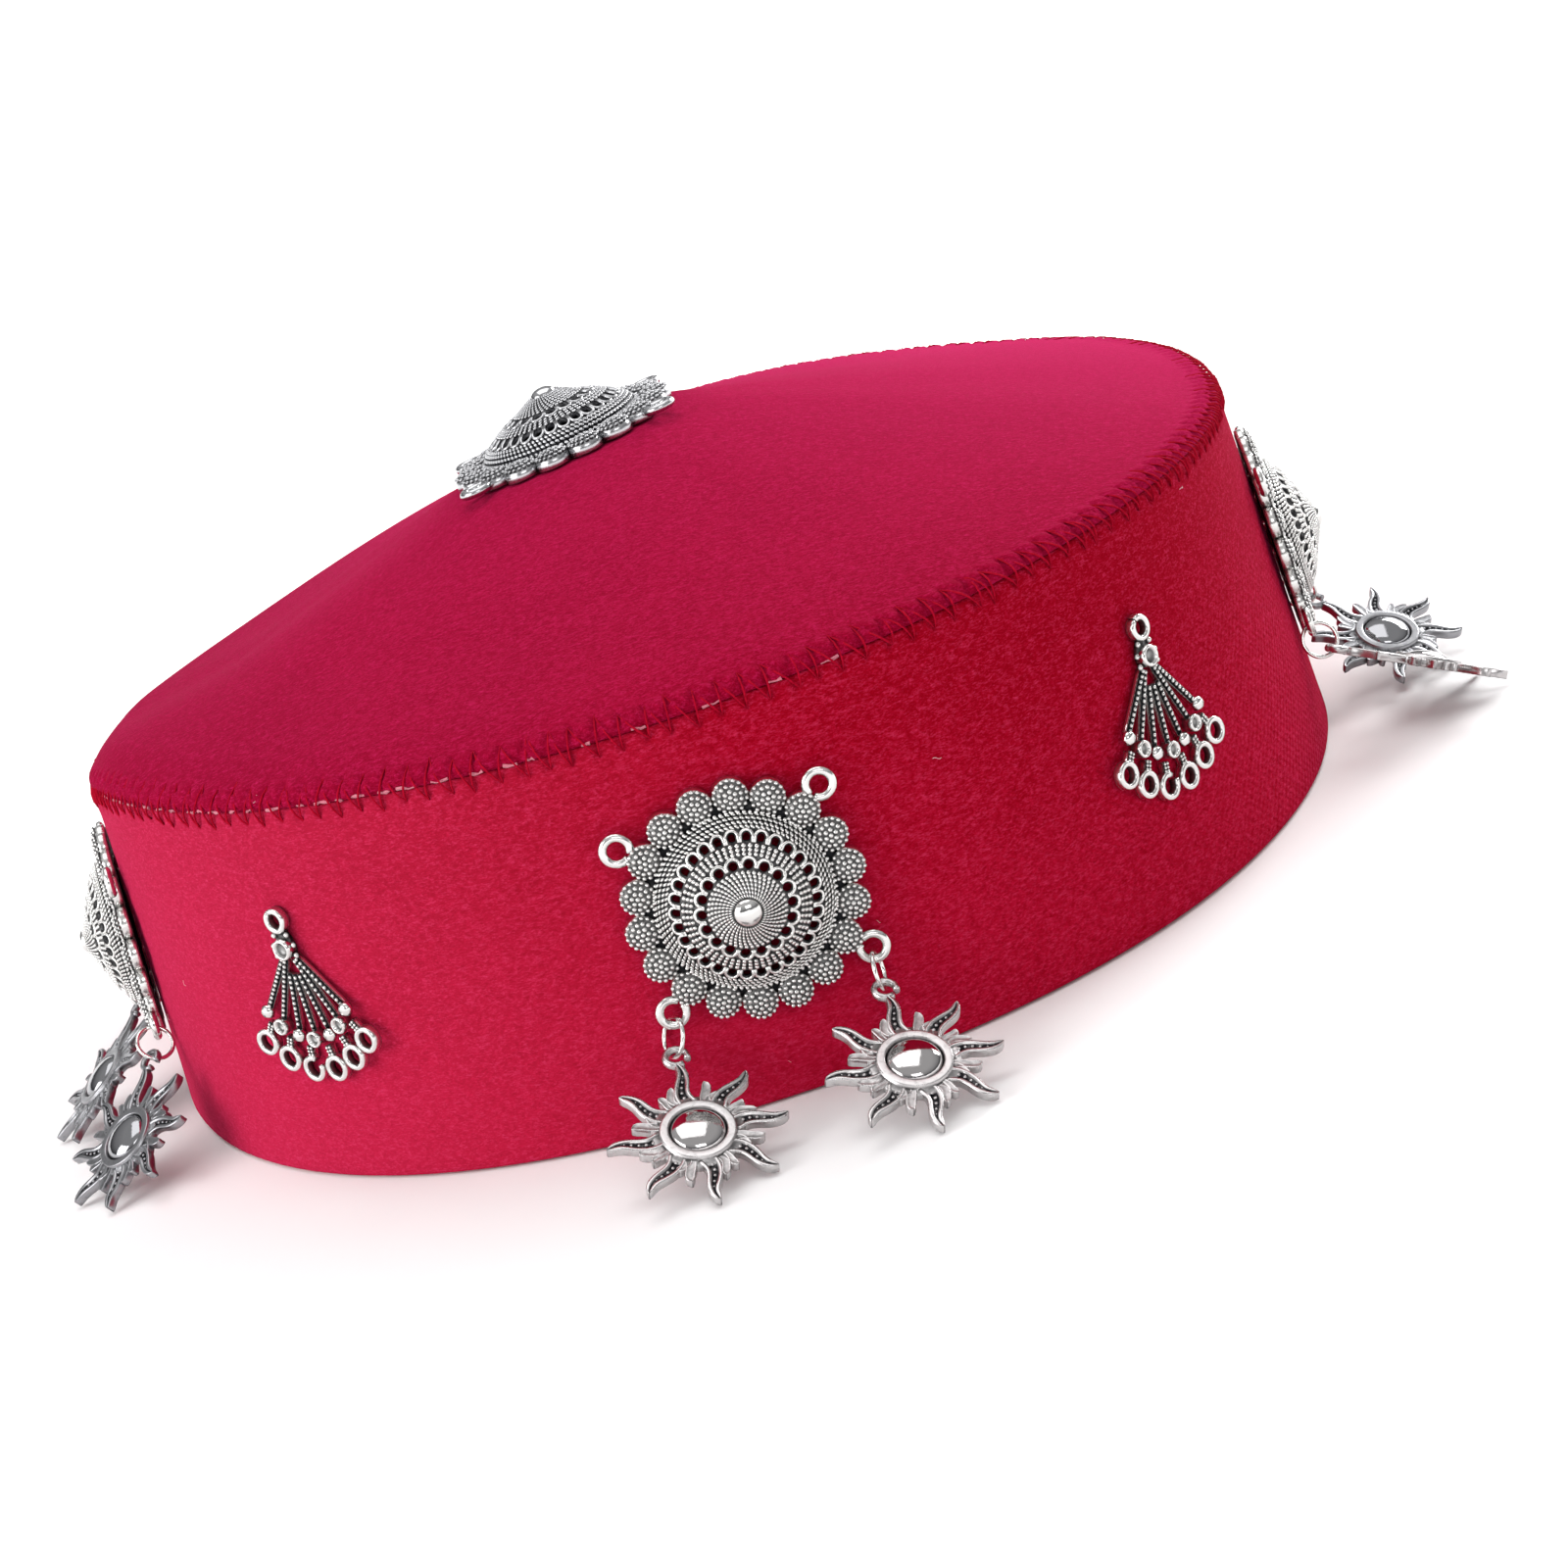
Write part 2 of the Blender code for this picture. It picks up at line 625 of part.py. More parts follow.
def charm_slots():
    """The two open wedges beside the outermost strands."""
    outer_strand = CHARM_STRAND_STEP * (CHARM_STRANDS - 1) / 2.0
    foot_reach = CHARM_STRAND_REACH - 1.25 * CHARM_BEAD_RADIUS
    strand_half = math.degrees(0.5 * CHARM_STRAND_WIDTH / foot_reach)
    slots = []
    for side in (-1.0, 1.0):
        outside = side * (outer_strand - strand_half)
        inside = side * (outer_strand - CHARM_STRAND_STEP + strand_half)
        apex = fan_point((outside + inside) / 2.0, 3.0 * CHARM_CUP_RADIUS)
        slots.append([apex, fan_point(outside, foot_reach), fan_point(inside, foot_reach)])
    return slots


def build_charm():
    """A cast fan: a top loop, a cup, strands that spread to beads, and six small rings below."""
    plate = bmesh.new()
    outlines = [charm_outline(), round_outline(0.0, 0.0, CHARM_LOOP_HOLE, LOOP_SIDES)]
    for _, (x, y) in charm_ring_places():
        outlines.append(round_outline(x, y, CHARM_RING_HOLE, HOLE_SIDES))
    outlines += charm_slots()
    add_plate(plate, outlines, 0.0, CHARM_THICKNESS)
    cup = bmesh.new()
    cup_top = CHARM_THICKNESS + CHARM_CUP_PROUD
    profile = (
        (0.0, CHARM_THICKNESS / 2.0),
        (CHARM_CUP_RADIUS, CHARM_THICKNESS / 2.0),
        (CHARM_CUP_RADIUS, cup_top),
        (0.7 * CHARM_CUP_RADIUS, cup_top),
        (0.0, CHARM_THICKNESS + 0.3 * CHARM_CUP_PROUD),
    )
    add_turned(cup, profile, ROUND_SIDES, Vector((0.0, -CHARM_CUP_DROP, 0.0)))
    return fuse("charm", finish_mesh("charm_plate", plate), finish_mesh("charm_cup", cup))


def frame_matrix(across, up, out, origin):
    """The matrix that puts a piece's X, Y and Z along three directions."""
    matrix = Matrix((across, up, out)).transposed().to_4x4()
    matrix.translation = origin
    return matrix


def wall_matrix(angle, height, twist=0.0):
    """A place on the band: X along the band, Y up it, Z out of it, one sewn gap off the velvet."""
    point = plan_point(angle, height)
    across = (plan_point(angle + 0.5, height) - plan_point(angle - 0.5, height)).normalized()
    upward = plan_point(angle, height + 0.001) - plan_point(angle, height - 0.001)
    out = across.cross(upward).normalized()
    up = out.cross(across)
    matrix = frame_matrix(across, up, out, point + SEWN_GAP * out)
    return matrix @ Matrix.Rotation(math.radians(twist), 4, "Z")


def seat_matrix(twist):
    """The flat seat on the crown's peak: X to the hat's right, Z out of the seat."""
    out = Vector((-SEAT_SLOPE_X, -SEAT_SLOPE_Y, 1.0)).normalized()
    across = Vector((1.0, 0.0, SEAT_SLOPE_X)).normalized()
    up = out.cross(across)
    centre = Vector((SEAT_SHIFT_X, SEAT_SHIFT_Y, SEAT_HEIGHT))
    matrix = frame_matrix(across, up, out, centre + SEWN_GAP * out)
    return matrix @ Matrix.Rotation(math.radians(twist), 4, "Z") @ Matrix.Scale(CROWN_MEDALLION_SCALE, 4)


def hang_ring(medallion, drop):
    """Centre, hanging direction and plane of the jump ring in a medallion's lower loop."""
    across, up, out = (medallion.to_3x3().col[i].normalized() for i in range(3))
    t = math.radians(drop.loop)
    loop = medallion @ Vector((LOOP_CENTRE * math.cos(t), LOOP_CENTRE * math.sin(t), LOOP_LEVEL))
    lean = math.radians(drop.ring_lean)
    swing = math.radians(drop.ring_swing)
    hang = out * math.sin(lean) + across * math.cos(lean) * math.sin(swing)
    hang = (hang - up * math.cos(lean) * math.cos(swing)).normalized()
    in_plane = (hang - out * hang.dot(out)).normalized()
    carried = loop + LOOP_RADIUS * in_plane
    centre = carried + (RING_RADIUS - RING_WIRE - LOOP_WIRE - LINK_GAP) * hang
    first = (out - hang * out.dot(hang)).normalized()
    second = hang.cross(first)
    turn = math.radians(drop.ring_turn)
    wide = first * math.cos(turn) + second * math.sin(turn)
    return centre, hang, wide


def sun_matrix(drop, contact, lean):
    """The sun's frame when it leans out by lean degrees with its loop hooked at the contact point."""
    outward = hat_direction(drop.heading)
    tilt = math.radians(lean)
    up = Vector((0.0, 0.0, math.sin(tilt))) - outward * math.cos(tilt)
    side = up.cross(Vector((0.0, 0.0, 1.0))).normalized()
    face = side.cross(up)
    roll = math.radians(drop.roll)
    across = side * math.cos(roll) - face * math.sin(roll)
    centre = contact - (SUN_LOOP_RADIUS + SUN_LOOP_REACH) * up
    return frame_matrix(across, up, across.cross(up), centre)


def settle_sun(drop, contact, mesh):
    """Lean the sun until its lowest tip meets the floor."""

    def lowest(lean):
        matrix = sun_matrix(drop, contact, lean)
        return min((matrix @ vert.co).z for vert in mesh.vertices)

    low = 0.0
    high = SUN_LEAN_LIMIT
    for _ in range(40):
        middle = (low + high) / 2.0
        if lowest(middle) > SUN_FLOOR_GAP:
            low = middle
        else:
            high = middle
    return sun_matrix(drop, contact, low)


def main():
    clear_scene()
    place_piece("band", build_band(), make_material("band velvet", VELVET))
    place_piece("crown", build_crown(), make_material("crown velvet", CROWN_VELVET))

    cast = make_material("antique cast silver", CAST_SILVER)
    medallion_mesh = build_medallion()
    seats = {place.name: wall_matrix(place.angle, place.height) for place in MEDALLIONS}
    for name, matrix in seats.items():
        place_piece("medallion_" + name, medallion_mesh, cast, matrix)
    place_piece("medallion_crown", medallion_mesh, cast, seat_matrix(CROWN_MEDALLION_TWIST))

    ring_mesh = build_jump_ring()
    sun_mesh = build_sun()
    wire = make_material("bright wire", BRIGHT_SILVER)
    polished = make_material("polished sun silver", BRIGHT_SILVER)
    for drop in DROPS:
        centre, hang, wide = hang_ring(seats[drop.medallion], drop)
        place_piece("ring_" + drop.name, ring_mesh, wire, frame_matrix(hang, wide, hang.cross(wide), centre))
        contact = centre + (RING_RADIUS - RING_WIRE - SUN_LOOP_WIRE - LINK_GAP) * hang
        place_piece("sun_" + drop.name, sun_mesh, polished, settle_sun(drop, contact, sun_mesh))

    charm_mesh = build_charm()
    charm_cast = make_material("antique charm silver", CAST_SILVER)
    for charm in CHARMS:
        matrix = wall_matrix(charm.angle, charm.height, charm.tilt)
        place_piece("charm_" + charm.name, charm_mesh, charm_cast, matrix)


main()
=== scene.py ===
"""Looks of a round crimson velvet hat with cast silver ornaments, standing on a pale floor."""

import math
import random
from collections import namedtuple

import bpy
import numpy as np
from mathutils import Matrix, Vector


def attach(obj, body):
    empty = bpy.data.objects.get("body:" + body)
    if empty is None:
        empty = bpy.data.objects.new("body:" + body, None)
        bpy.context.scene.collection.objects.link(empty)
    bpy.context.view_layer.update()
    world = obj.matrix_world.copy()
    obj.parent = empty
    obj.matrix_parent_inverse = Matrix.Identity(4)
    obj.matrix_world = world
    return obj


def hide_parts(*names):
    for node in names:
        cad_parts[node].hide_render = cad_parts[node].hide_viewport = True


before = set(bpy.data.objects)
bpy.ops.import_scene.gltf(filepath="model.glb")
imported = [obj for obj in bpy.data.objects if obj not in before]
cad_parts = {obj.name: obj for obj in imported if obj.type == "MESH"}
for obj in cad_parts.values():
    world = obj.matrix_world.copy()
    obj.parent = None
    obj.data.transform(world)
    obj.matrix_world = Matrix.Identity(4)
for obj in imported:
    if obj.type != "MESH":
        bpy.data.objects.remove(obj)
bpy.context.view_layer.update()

MM = 0.001
ACROSS = Vector((1.0, 0.0, 0.0))
UPRIGHT = Vector((0.0, 0.0, 1.0))

# The hat's plan, band and crown, in metres and shares, as the solids have them
RIM_HALF_WIDTH = 0.0880
RIM_HALF_LENGTH = 0.0948
PLAN_ROUNDNESS = 2.16
BAND_HEIGHT = 0.0495
BAND_LEAN = 0.0026
CROWN_WALL = 0.0020
SEAT_HEIGHT = BAND_HEIGHT + 0.0195
SEAT_SHIFT_X = -0.0050
SEAT_SHIFT_Y = -0.0058
SEAT_SLOPE_X = 0.1030
SEAT_SLOPE_Y = -0.0200
SLOPE_EASE = 0.60
SLOPE_FALL = 0.90
SHOULDER_START = 0.88
SHOULDER_FALL = 0.42
SEWN_GAP = 0.0003
CROWN_MEDALLION_TWIST = 5.5
CROWN_MEDALLION_SCALE = 1.09
MEDALLION_HALF = 0.0152
SEAT_MARGIN = 0.0006
SEAT_RADIUS = CROWN_MEDALLION_SCALE * MEDALLION_HALF + SEAT_MARGIN

Seam = namedtuple("Seam", "angle height puff lean")
SEAM = (
    Seam(0, 1.010, 0.30, 1.0),
    Seam(45, 1.022, 0.15, 1.0),
    Seam(90, 0.992, 0.05, 1.0),
    Seam(135, 0.978, 0.10, 1.0),
    Seam(180, 1.050, 0.20, 1.0),
    Seam(235, 0.810, 0.80, 1.45),
    Seam(270, 0.857, 1.00, 1.60),
    Seam(300, 1.010, 0.85, 1.30),
    Seam(330, 1.024, 0.45, 1.0),
)

# Rows of the band, up its outer face and down the inner one: share of its height, mm past that, inset in mm
BAND_ROWS = (
    (0.0, 0.00, 1.30), (0.0, 0.04, 0.60), (0.0, 0.22, 0.18), (0.0, 0.60, 0.02), (0.0, 1.3, 0.0),
    *((share, 0.0, 0.0) for share in (0.06, 0.12, 0.2, 0.3, 0.4, 0.5, 0.6, 0.7, 0.8, 0.88)),
    (1.0, -4.2, 0.0), (1.0, -3.4, 0.0), (1.0, -2.8, 0.0), (1.0, -2.2, 0.0), (1.0, -1.7, 0.02),
    (1.0, -1.2, 0.04), (1.0, -0.8, 0.07), (1.0, -0.45, 0.14), (1.0, -0.2, 0.26), (1.0, -0.05, 0.50),
    (1.0, 0.0, 1.2), (1.0, -0.3, 2.45), (0.7, 0.0, 2.5), (0.4, 0.0, 2.5), (0.15, 0.0, 2.5), (0.0, 0.4, 2.45),
)
# Rows of the crown, from its seat at 0 to its seam at 1, close together where the stitches pull it in
CROWN_ROWS = (
    0.0, 0.06, 0.12, 0.18, 0.24, 0.30, 0.36, 0.42, 0.48, 0.54, 0.60, 0.66, 0.71, 0.76, 0.80, 0.835,
    0.86, 0.88, 0.897, 0.912, 0.926, 0.939, 0.950, 0.960, 0.969, 0.977, 0.984, 0.990, 0.9945, 0.998, 1.0,
)

# Places of the ornaments
Place = namedtuple("Place", "name angle height")
MEDALLIONS = (
    Place("front", 3.0, 0.0264),
    Place("right", 83.0, 0.0264),
    Place("back", 183.0, 0.0264),
    Place("left", -73.0, 0.0264),
)
Drop = namedtuple("Drop", "name medallion loop heading roll ring_lean ring_swing ring_turn")
DROPS = (
    Drop("front_left", "front", -140, 4.0, 12, 20, -18, 154),
    Drop("front_right", "front", -40, 5.5, 12, 28, -5, 13),
    Drop("left_back", "left", -140, -30.0, -24, 30, 41, 150),
    Drop("left_front", "left", -40, -22.0, -14, 23, 52, 158),
    Drop("right_front", "right", -140, 78.0, 18, 24, -18, 162),
    Drop("right_back", "right", -40, 43.0, -3, 30, -18, 29),
    Drop("back_left", "back", -40, 178.0, 8, 30, -14, 17),
    Drop("back_right", "back", -140, 184.0, -8, 30, 4, 172),
)
# suns whose silver is darkened: painted shade
SUNS_IN_PAINTED_SHADE = ("left_back", "left_front", "right_back")
Charm = namedtuple("Charm", "name angle height tilt")
CHARMS = (
    Charm("front_right", 40.9, 0.0365, -6.5),
    Charm("front_left", -34.6, 0.0365, 0.5),
    Charm("back_right", 133.0, 0.0365, 3.0),
    Charm("back_left", -125.0, 0.0365, 4.0),
)

# Ornaments, in millimetres
PETALS = 18
PETAL_RING = 13.0
PETAL_RADIUS = 2.2
HOLE_REACH = 5.42
ROUND_HOLE_TURN = Matrix.Rotation(math.radians(10.0), 4, "Z")
ARCHES = 30
ARCH_REACH = 8.50
GrainRound = namedtuple("GrainRound", "count far turn size")
GRAIN_ROUNDS = (
    GrainRound(1, 0.0, 0.0, 0.33),
    GrainRound(6, 0.68, 0.0, 0.325),
    GrainRound(12, 1.33, 15.0, 0.32),
    GrainRound(17, 1.96, 4.0, 0.30),
)
# a grain is cut off below this share of its radius, and its flat side isn't seen
GRAIN_CUT = -0.35
LOOP_RADIUS = 1.6
LOOP_WIRE = 0.42
LOOP_LEVEL = 1.0
LOOP_CENTRE = PETAL_RING + PETAL_RADIUS + LOOP_RADIUS - 0.1
LOOP_ANGLES = (-140, -40, 40, 140)
RING_RADIUS = 2.5
RING_WIRE = 0.30
LINK_GAP = 0.30
SUN_RAYS = 8
SUN_PITCH = 360.0 / SUN_RAYS
SUN_TIP = 10.9
SUN_HALF = 0.6
SUN_LOOP_RADIUS = 1.37
SUN_LOOP_WIRE = 0.34
SUN_LOOP_REACH = 12.7
SUN_FLOOR_GAP = 0.1

# The sewing round the seam
STITCHES = 186
STITCH_DROP = 0.0018
STITCH_RISE = 0.0031
THREAD_RADIUS = 0.00013
COLUMNS_PER_STITCH = 6
FLECK_RADIUS = 0.00017
FLECKS_FROM = 196.0
FLECKS_TO = 376.0

# Stray fibres on the velvet
LINT = {"density": 900.0, "length": 0.0009, "thickness": 0.00003}

# Finishes, as linear colours
# raised is a pinker tone: the pile tips' own pink at random, and painted sheen where light grazes the velvet
Velvet = namedtuple("Velvet", "name deep lively raised nap")
BAND_VELVET = Velvet(
    "band velvet", (0.255, 0.0005, 0.0075), (0.415, 0.005, 0.030), (0.52, 0.034, 0.104), (0.40, 0.40, 1.0))
CROWN_VELVET = Velvet(
    "crown velvet", (0.20, 0.0003, 0.011), (0.33, 0.003, 0.030), (0.50, 0.016, 0.105), (0.45, 0.9, 1.0))
THREAD_TONES = ((0.19, 0.0005, 0.009), (0.46, 0.004, 0.024))
PALE_EDGE = (0.60, 0.16, 0.22)
LINT_TONE = (0.85, 0.55, 0.6)
WIRE_TONES = ((0.70, 0.69, 0.67), (0.86, 0.85, 0.83))
PAPER_TONES = ((0.86, 0.86, 0.86), (0.90, 0.90, 0.90))
PAPER_GLOW = ((0.03, 0.03, 0.03), (0.75, 0.75, 0.75))
Silver = namedtuple("Silver", "name dark bright roughness polished wear")
MEDALLION_SILVER = Silver("antique silver", (0.018, 0.018, 0.020), (0.72, 0.71, 0.695), 0.22, 0.10, 0.35)
# a darker copy of the medallion silver for the crown medallion: painted dark reflection
CROWN_DARK_REFLECTION_SILVER = Silver("dull silver", (0.016, 0.016, 0.019), (0.50, 0.50, 0.515), 0.24, 0.10, 0.35)
CHARM_SILVER = Silver("charm silver", (0.016, 0.016, 0.018), (0.70, 0.69, 0.675), 0.22, 0.12, 0.35)
SUN_SILVER = Silver("sun silver", (0.022, 0.021, 0.024), (0.54, 0.52, 0.52), 0.28, 0.035, 0.9)
# a darker copy of the sun silver: painted shade on three suns
PAINTED_SHADE_SUN_SILVER = Silver("tarnished sun silver", (0.018, 0.018, 0.021), (0.33, 0.33, 0.345), 0.30, 0.05, 0.9)

# Light and camera
Lamp = namedtuple("Lamp", "name place aim_height size power")
LAMPS = (
    Lamp("key", (-0.90, -0.45, 0.42), 0.03, (0.85, 0.60), 8.1),
    Lamp("front fill", (0.30, -1.2, 0.75), 0.03, (0.7, 0.4), 3.0),
    Lamp("back", (0.80, 0.85, 0.50), 0.05, (0.7, 0.4), 14.0),
    Lamp("top", (0.0, 0.2, 1.2), 0.0, (1.2, 1.2), 8.0),
)
SKY = (
    (0.0, (0.10, 0.10, 0.11)),
    (0.22, (0.16, 0.16, 0.17)),
    (0.42, (0.62, 0.62, 0.63)),
    (0.7, (0.95, 0.95, 0.95)),
)
SKY_STRENGTH = 0.58
CAMERA_PLACE = (0.0347, -0.4713, 0.1568)
CAMERA_AZIMUTH, CAMERA_ELEVATION, CAMERA_ROLL = (math.radians(a) for a in (3.1775, 17.3705, 18.7113))
CAMERA_LENS = 76.12


# Node trees: one class wraps a socket so that Python's arithmetic adds the Math nodes
class Value:
    def __init__(self, nodes, socket):
        self.nodes = nodes
        self.socket = socket

    def _math(self, operation, *values, clamp=False):
        settings = {"operation": operation, "use_clamp": clamp}
        return self.nodes.node("ShaderNodeMath", settings, dict(enumerate(values)))

    def __add__(self, other):
        return self._math("ADD", self, other)

    __radd__ = __add__

    def __sub__(self, other):
        return self._math("SUBTRACT", self, other)

    def __rsub__(self, other):
        return self._math("SUBTRACT", other, self)

    def __mul__(self, other):
        return self._math("MULTIPLY", self, other)

    __rmul__ = __mul__

    def __truediv__(self, other):
        return self._math("DIVIDE", self, other)

    def __rtruediv__(self, other):
        return self._math("DIVIDE", other, self)

    def __lt__(self, other):
        return self._math("LESS_THAN", self, other)

    def sin(self):
        return self._math("SINE", self)

    def limited(self):
        return self._math("ADD", self, 0.0, clamp=True)

    def between(self, low, high):
        """0 below low, 1 above high and a straight rise between them."""
        return ((self - low) * (1.0 / (high - low))).limited()


class Nodes:
    def __init__(self, tree):
        self.tree = tree

    def node(self, kind, settings=None, inputs=None, out=0):
        node = self.tree.nodes.new(kind)
        for key, value in (settings or {}).items():
            if key == "stops":
                self._set_stops(node.color_ramp, value)
            else:
                setattr(node, key, value)
        for key, value in (inputs or {}).items():
            if isinstance(value, Value):
                self.tree.links.new(value.socket, node.inputs[key])
            else:
                node.inputs[key].default_value = value
        return Value(self, node.outputs[out])

    @staticmethod
    def _set_stops(ramp, stops):
        while len(ramp.elements) < len(stops):
            ramp.elements.new(1.0)
        for element, (position, colour) in zip(ramp.elements, stops):
            element.position = position
            element.color = (*colour, 1.0)

    def mixed(self, factor, first, second):
        """A blend of two colours; each is a colour or a link."""
        first, second = [(*c, 1.0) if isinstance(c, tuple) else c for c in (first, second)]
        return self.node("ShaderNodeMix", {"data_type": "RGBA"}, {0: factor, 6: first, 7: second}, out=2)

    def noise(self, vector, scale, detail=2.0, rough=0.5):
        values = {"Vector": vector, "Scale": scale, "Detail": detail, "Roughness": rough}
        return self.node("ShaderNodeTexNoise", {}, values)

    def stretched(self, vector, scale):
        return self.node("ShaderNodeMapping", {}, {"Vector": vector, "Scale": scale})

    def attribute(self, name):
        return self.node("ShaderNodeAttribute", {"attribute_name": name}, {}, out="Fac")

    def place(self):
        return self.node("ShaderNodeTexCoord", {}, {}, out="Object")

    def bump(self, height, strength, distance):
        values = {"Height": height, "Strength": strength, "Distance": distance}
        return self.node("ShaderNodeBump", {}, values)

    def axes(self, vector):
        split = self.node("ShaderNodeSeparateXYZ", {}, {"Vector": vector}).socket.node
        return [Value(self, split.outputs[axis]) for axis in "XYZ"]

    def chance(self, low, high, seed):
        """An even random number of its own for each element."""
        values = {2: low, 3: high, "Seed": seed}
        return self.node("FunctionNodeRandomValue", {"data_type": "FLOAT"}, values, out=1)

    def turn_about_z(self, angle):
        turn = self.node("ShaderNodeCombineXYZ", {}, {"Z": angle})
        return self.node("FunctionNodeEulerToRotation", {}, {"Euler": turn})


def new_material(name, **constants):
    """A material whose shader has its constant values set on its own sockets."""
    material = bpy.data.materials.new(name)
    material.use_nodes = True
    shader = material.node_tree.nodes["Principled BSDF"]
    for key, value in constants.items():
        socket = shader.inputs[key.replace("_", " ")]
        socket.default_value = (*value, 1.0) if isinstance(value, tuple) else value
    return material, Nodes(material.node_tree), shader


def feed(nodes, shader, **links):
    for key, value in links.items():
        nodes.tree.links.new(value.socket, shader.inputs[key.replace("_", " ")])


# Geometry trees
def geometry_tree(name, **inputs):
    tree = bpy.data.node_groups.new(name, "GeometryNodeTree")
    for label, kind in {"geometry": "Geometry", **inputs, "material": "Material"}.items():
        tree.interface.new_socket(label, in_out="INPUT", socket_type="NodeSocket" + kind)
    tree.interface.new_socket("geometry", in_out="OUTPUT", socket_type="NodeSocketGeometry")
    nodes = Nodes(tree)
    entry = tree.nodes.new("NodeGroupInput")
    return nodes, {socket.name: Value(nodes, socket) for socket in entry.outputs if socket.name}


def end_tree(nodes, given, geometry):
    real = nodes.node("GeometryNodeRealizeInstances", {}, {"Geometry": geometry})
    smooth = nodes.node("GeometryNodeSetShadeSmooth", {}, {"Geometry": real})
    done = nodes.node("GeometryNodeSetMaterial", {}, {"Geometry": smooth, "Material": given["material"]})
    exit_node = nodes.tree.nodes.new("NodeGroupOutput")
    nodes.tree.links.new(done.socket, exit_node.inputs[0])
    return nodes.tree


def tube(nodes, path, sides, radius, **more):
    """A round section carried along a path."""
    profile = nodes.node("GeometryNodeCurvePrimitiveCircle", {}, {"Resolution": sides, "Radius": radius})
    values = {"Curve": path, "Profile Curve": profile, "Fill Caps": True, **more}
    return nodes.node("GeometryNodeCurveToMesh", {}, values)


def with_relief(nodes, geometry, relief):
    """Keeps at each point how high the casting stands there, for the finish to read."""
    settings = {"data_type": "FLOAT", "domain": "POINT"}
    values = {"Geometry": geometry, "Name": "relief", "Value": relief}
    return nodes.node("GeometryNodeStoreNamedAttribute", settings, values)


def placed_on(nodes, points, instance, rotation, **more):
    values = {"Points": points, "Instance": instance, "Rotation": rotation, **more}
    return nodes.node("GeometryNodeInstanceOnPoints", {}, values)


def wire_tree():
    """A round wire along a path of edges."""
    nodes, given = geometry_tree("wire along a path", radius="Float", sides="Int")
    path = nodes.node("GeometryNodeMeshToCurve", {}, {"Mesh": given["geometry"]})
    strand = tube(nodes, path, given["sides"], given["radius"])
    return end_tree(nodes, given, with_relief(nodes, strand, 1.0))


def grain_tree():
    """A small grain, round or a blunt bar, on each point, with the point's own size and turn."""
    nodes, given = geometry_tree("cast grains", fineness="Int", lowest="Float", blunt="Bool")
    ball = nodes.node("GeometryNodeMeshIcoSphere", {}, {"Radius": 1.0, "Subdivisions": given["fineness"]})
    cone = nodes.node("GeometryNodeMeshCone", {"fill_type": "TRIANGLE_FAN"}, {
        "Vertices": 8, "Side Segments": 2, "Fill Segments": 1, "Radius Top": 0.84, "Radius Bottom": 1.0,
        "Depth": 1.3,
    })
    blunt = nodes.node("GeometryNodeTransform", {}, {"Geometry": cone, "Translation": (0.0, 0.0, 0.05)})
    choice = {"Switch": given["blunt"], "False": ball, "True": blunt}
    grain = nodes.node("GeometryNodeSwitch", {"input_type": "GEOMETRY"}, choice)
    up = nodes.axes(nodes.node("GeometryNodeInputPosition"))[2]
    lowest = given["lowest"]
    marked = with_relief(nodes, grain, lowest + (1.0 - lowest) * up.between(0.25, 0.7))
    values = {"Geometry": marked, "Selection": up < GRAIN_CUT}
    cut = nodes.node("GeometryNodeDeleteGeometry", {"domain": "POINT"}, values)
    size, turn = [
        nodes.node("GeometryNodeInputNamedAttribute", {"data_type": "FLOAT_VECTOR"}, {"Name": name})
        for name in ("size", "turn")
    ]
    rotation = nodes.node("FunctionNodeEulerToRotation", {}, {"Euler": turn})
    return end_tree(nodes, given, placed_on(nodes, given["geometry"], cut, rotation, Scale=size))


def around_tree():
    """Copies of a piece turned evenly round the vertical axis."""
    nodes, given = geometry_tree("copies round an axis", count="Int")
    points = nodes.node("GeometryNodePoints", {}, {"Count": given["count"]})
    rotation = nodes.turn_about_z(nodes.node("GeometryNodeInputIndex") * math.tau / given["count"])
    return end_tree(nodes, given, placed_on(nodes, points, given["geometry"], rotation))


def thread_tree():
    """Sewing thread along a path: round, with a slight slub."""
    nodes, given = geometry_tree("sewing thread", radius="Float", sides="Int", slub="Float", seed="Int")
    path = nodes.node("GeometryNodeMeshToCurve", {}, {"Mesh": given["geometry"]})
    size = nodes.chance(1.0 - given["slub"], 1.0 + given["slub"], given["seed"])
    uneven = nodes.node("GeometryNodeSetCurveRadius", {}, {"Curve": path, "Radius": size})
    return end_tree(nodes, given, tube(nodes, uneven, given["sides"], given["radius"], Scale=size))


def lint_tree():
    """A few short stray fibres scattered over a cloth."""
    inputs = {"density": "Float", "length": "Float", "thickness": "Float", "seed": "Int"}
    nodes, given = geometry_tree("stray fibres", **inputs)
    length = given["length"]
    seed = given["seed"]
    values = {"Mesh": given["geometry"], "Density": given["density"], "Seed": seed}
    points = nodes.node("GeometryNodeDistributePointsOnFaces", {"distribute_method": "RANDOM"}, values)
    curve = {"Resolution": 6, "Start": (-0.5, 0.0, 0.02), "Start Handle": (-0.2, 0.35, 0.25),
             "End Handle": (0.2, -0.3, 0.2), "End": (0.5, 0.05, 0.03)}
    fibre = nodes.node("GeometryNodeCurvePrimitiveBezierSegment", {"mode": "POSITION"}, curve)
    strand = tube(nodes, fibre, 4, given["thickness"] / length)
    spin = nodes.turn_about_z(nodes.chance(0.0, math.tau, seed + 1.0))
    size = nodes.chance(length * 0.4, length * 1.3, seed + 2.0)
    facing = Value(nodes, points.socket.node.outputs["Rotation"])
    turns = {"Rotation": facing, "Rotate By": spin}
    turned_fibre = nodes.node("FunctionNodeRotateRotation", {"rotation_space": "LOCAL"}, turns)
    return end_tree(nodes, given, placed_on(nodes, points, strand, turned_fibre, Scale=size))


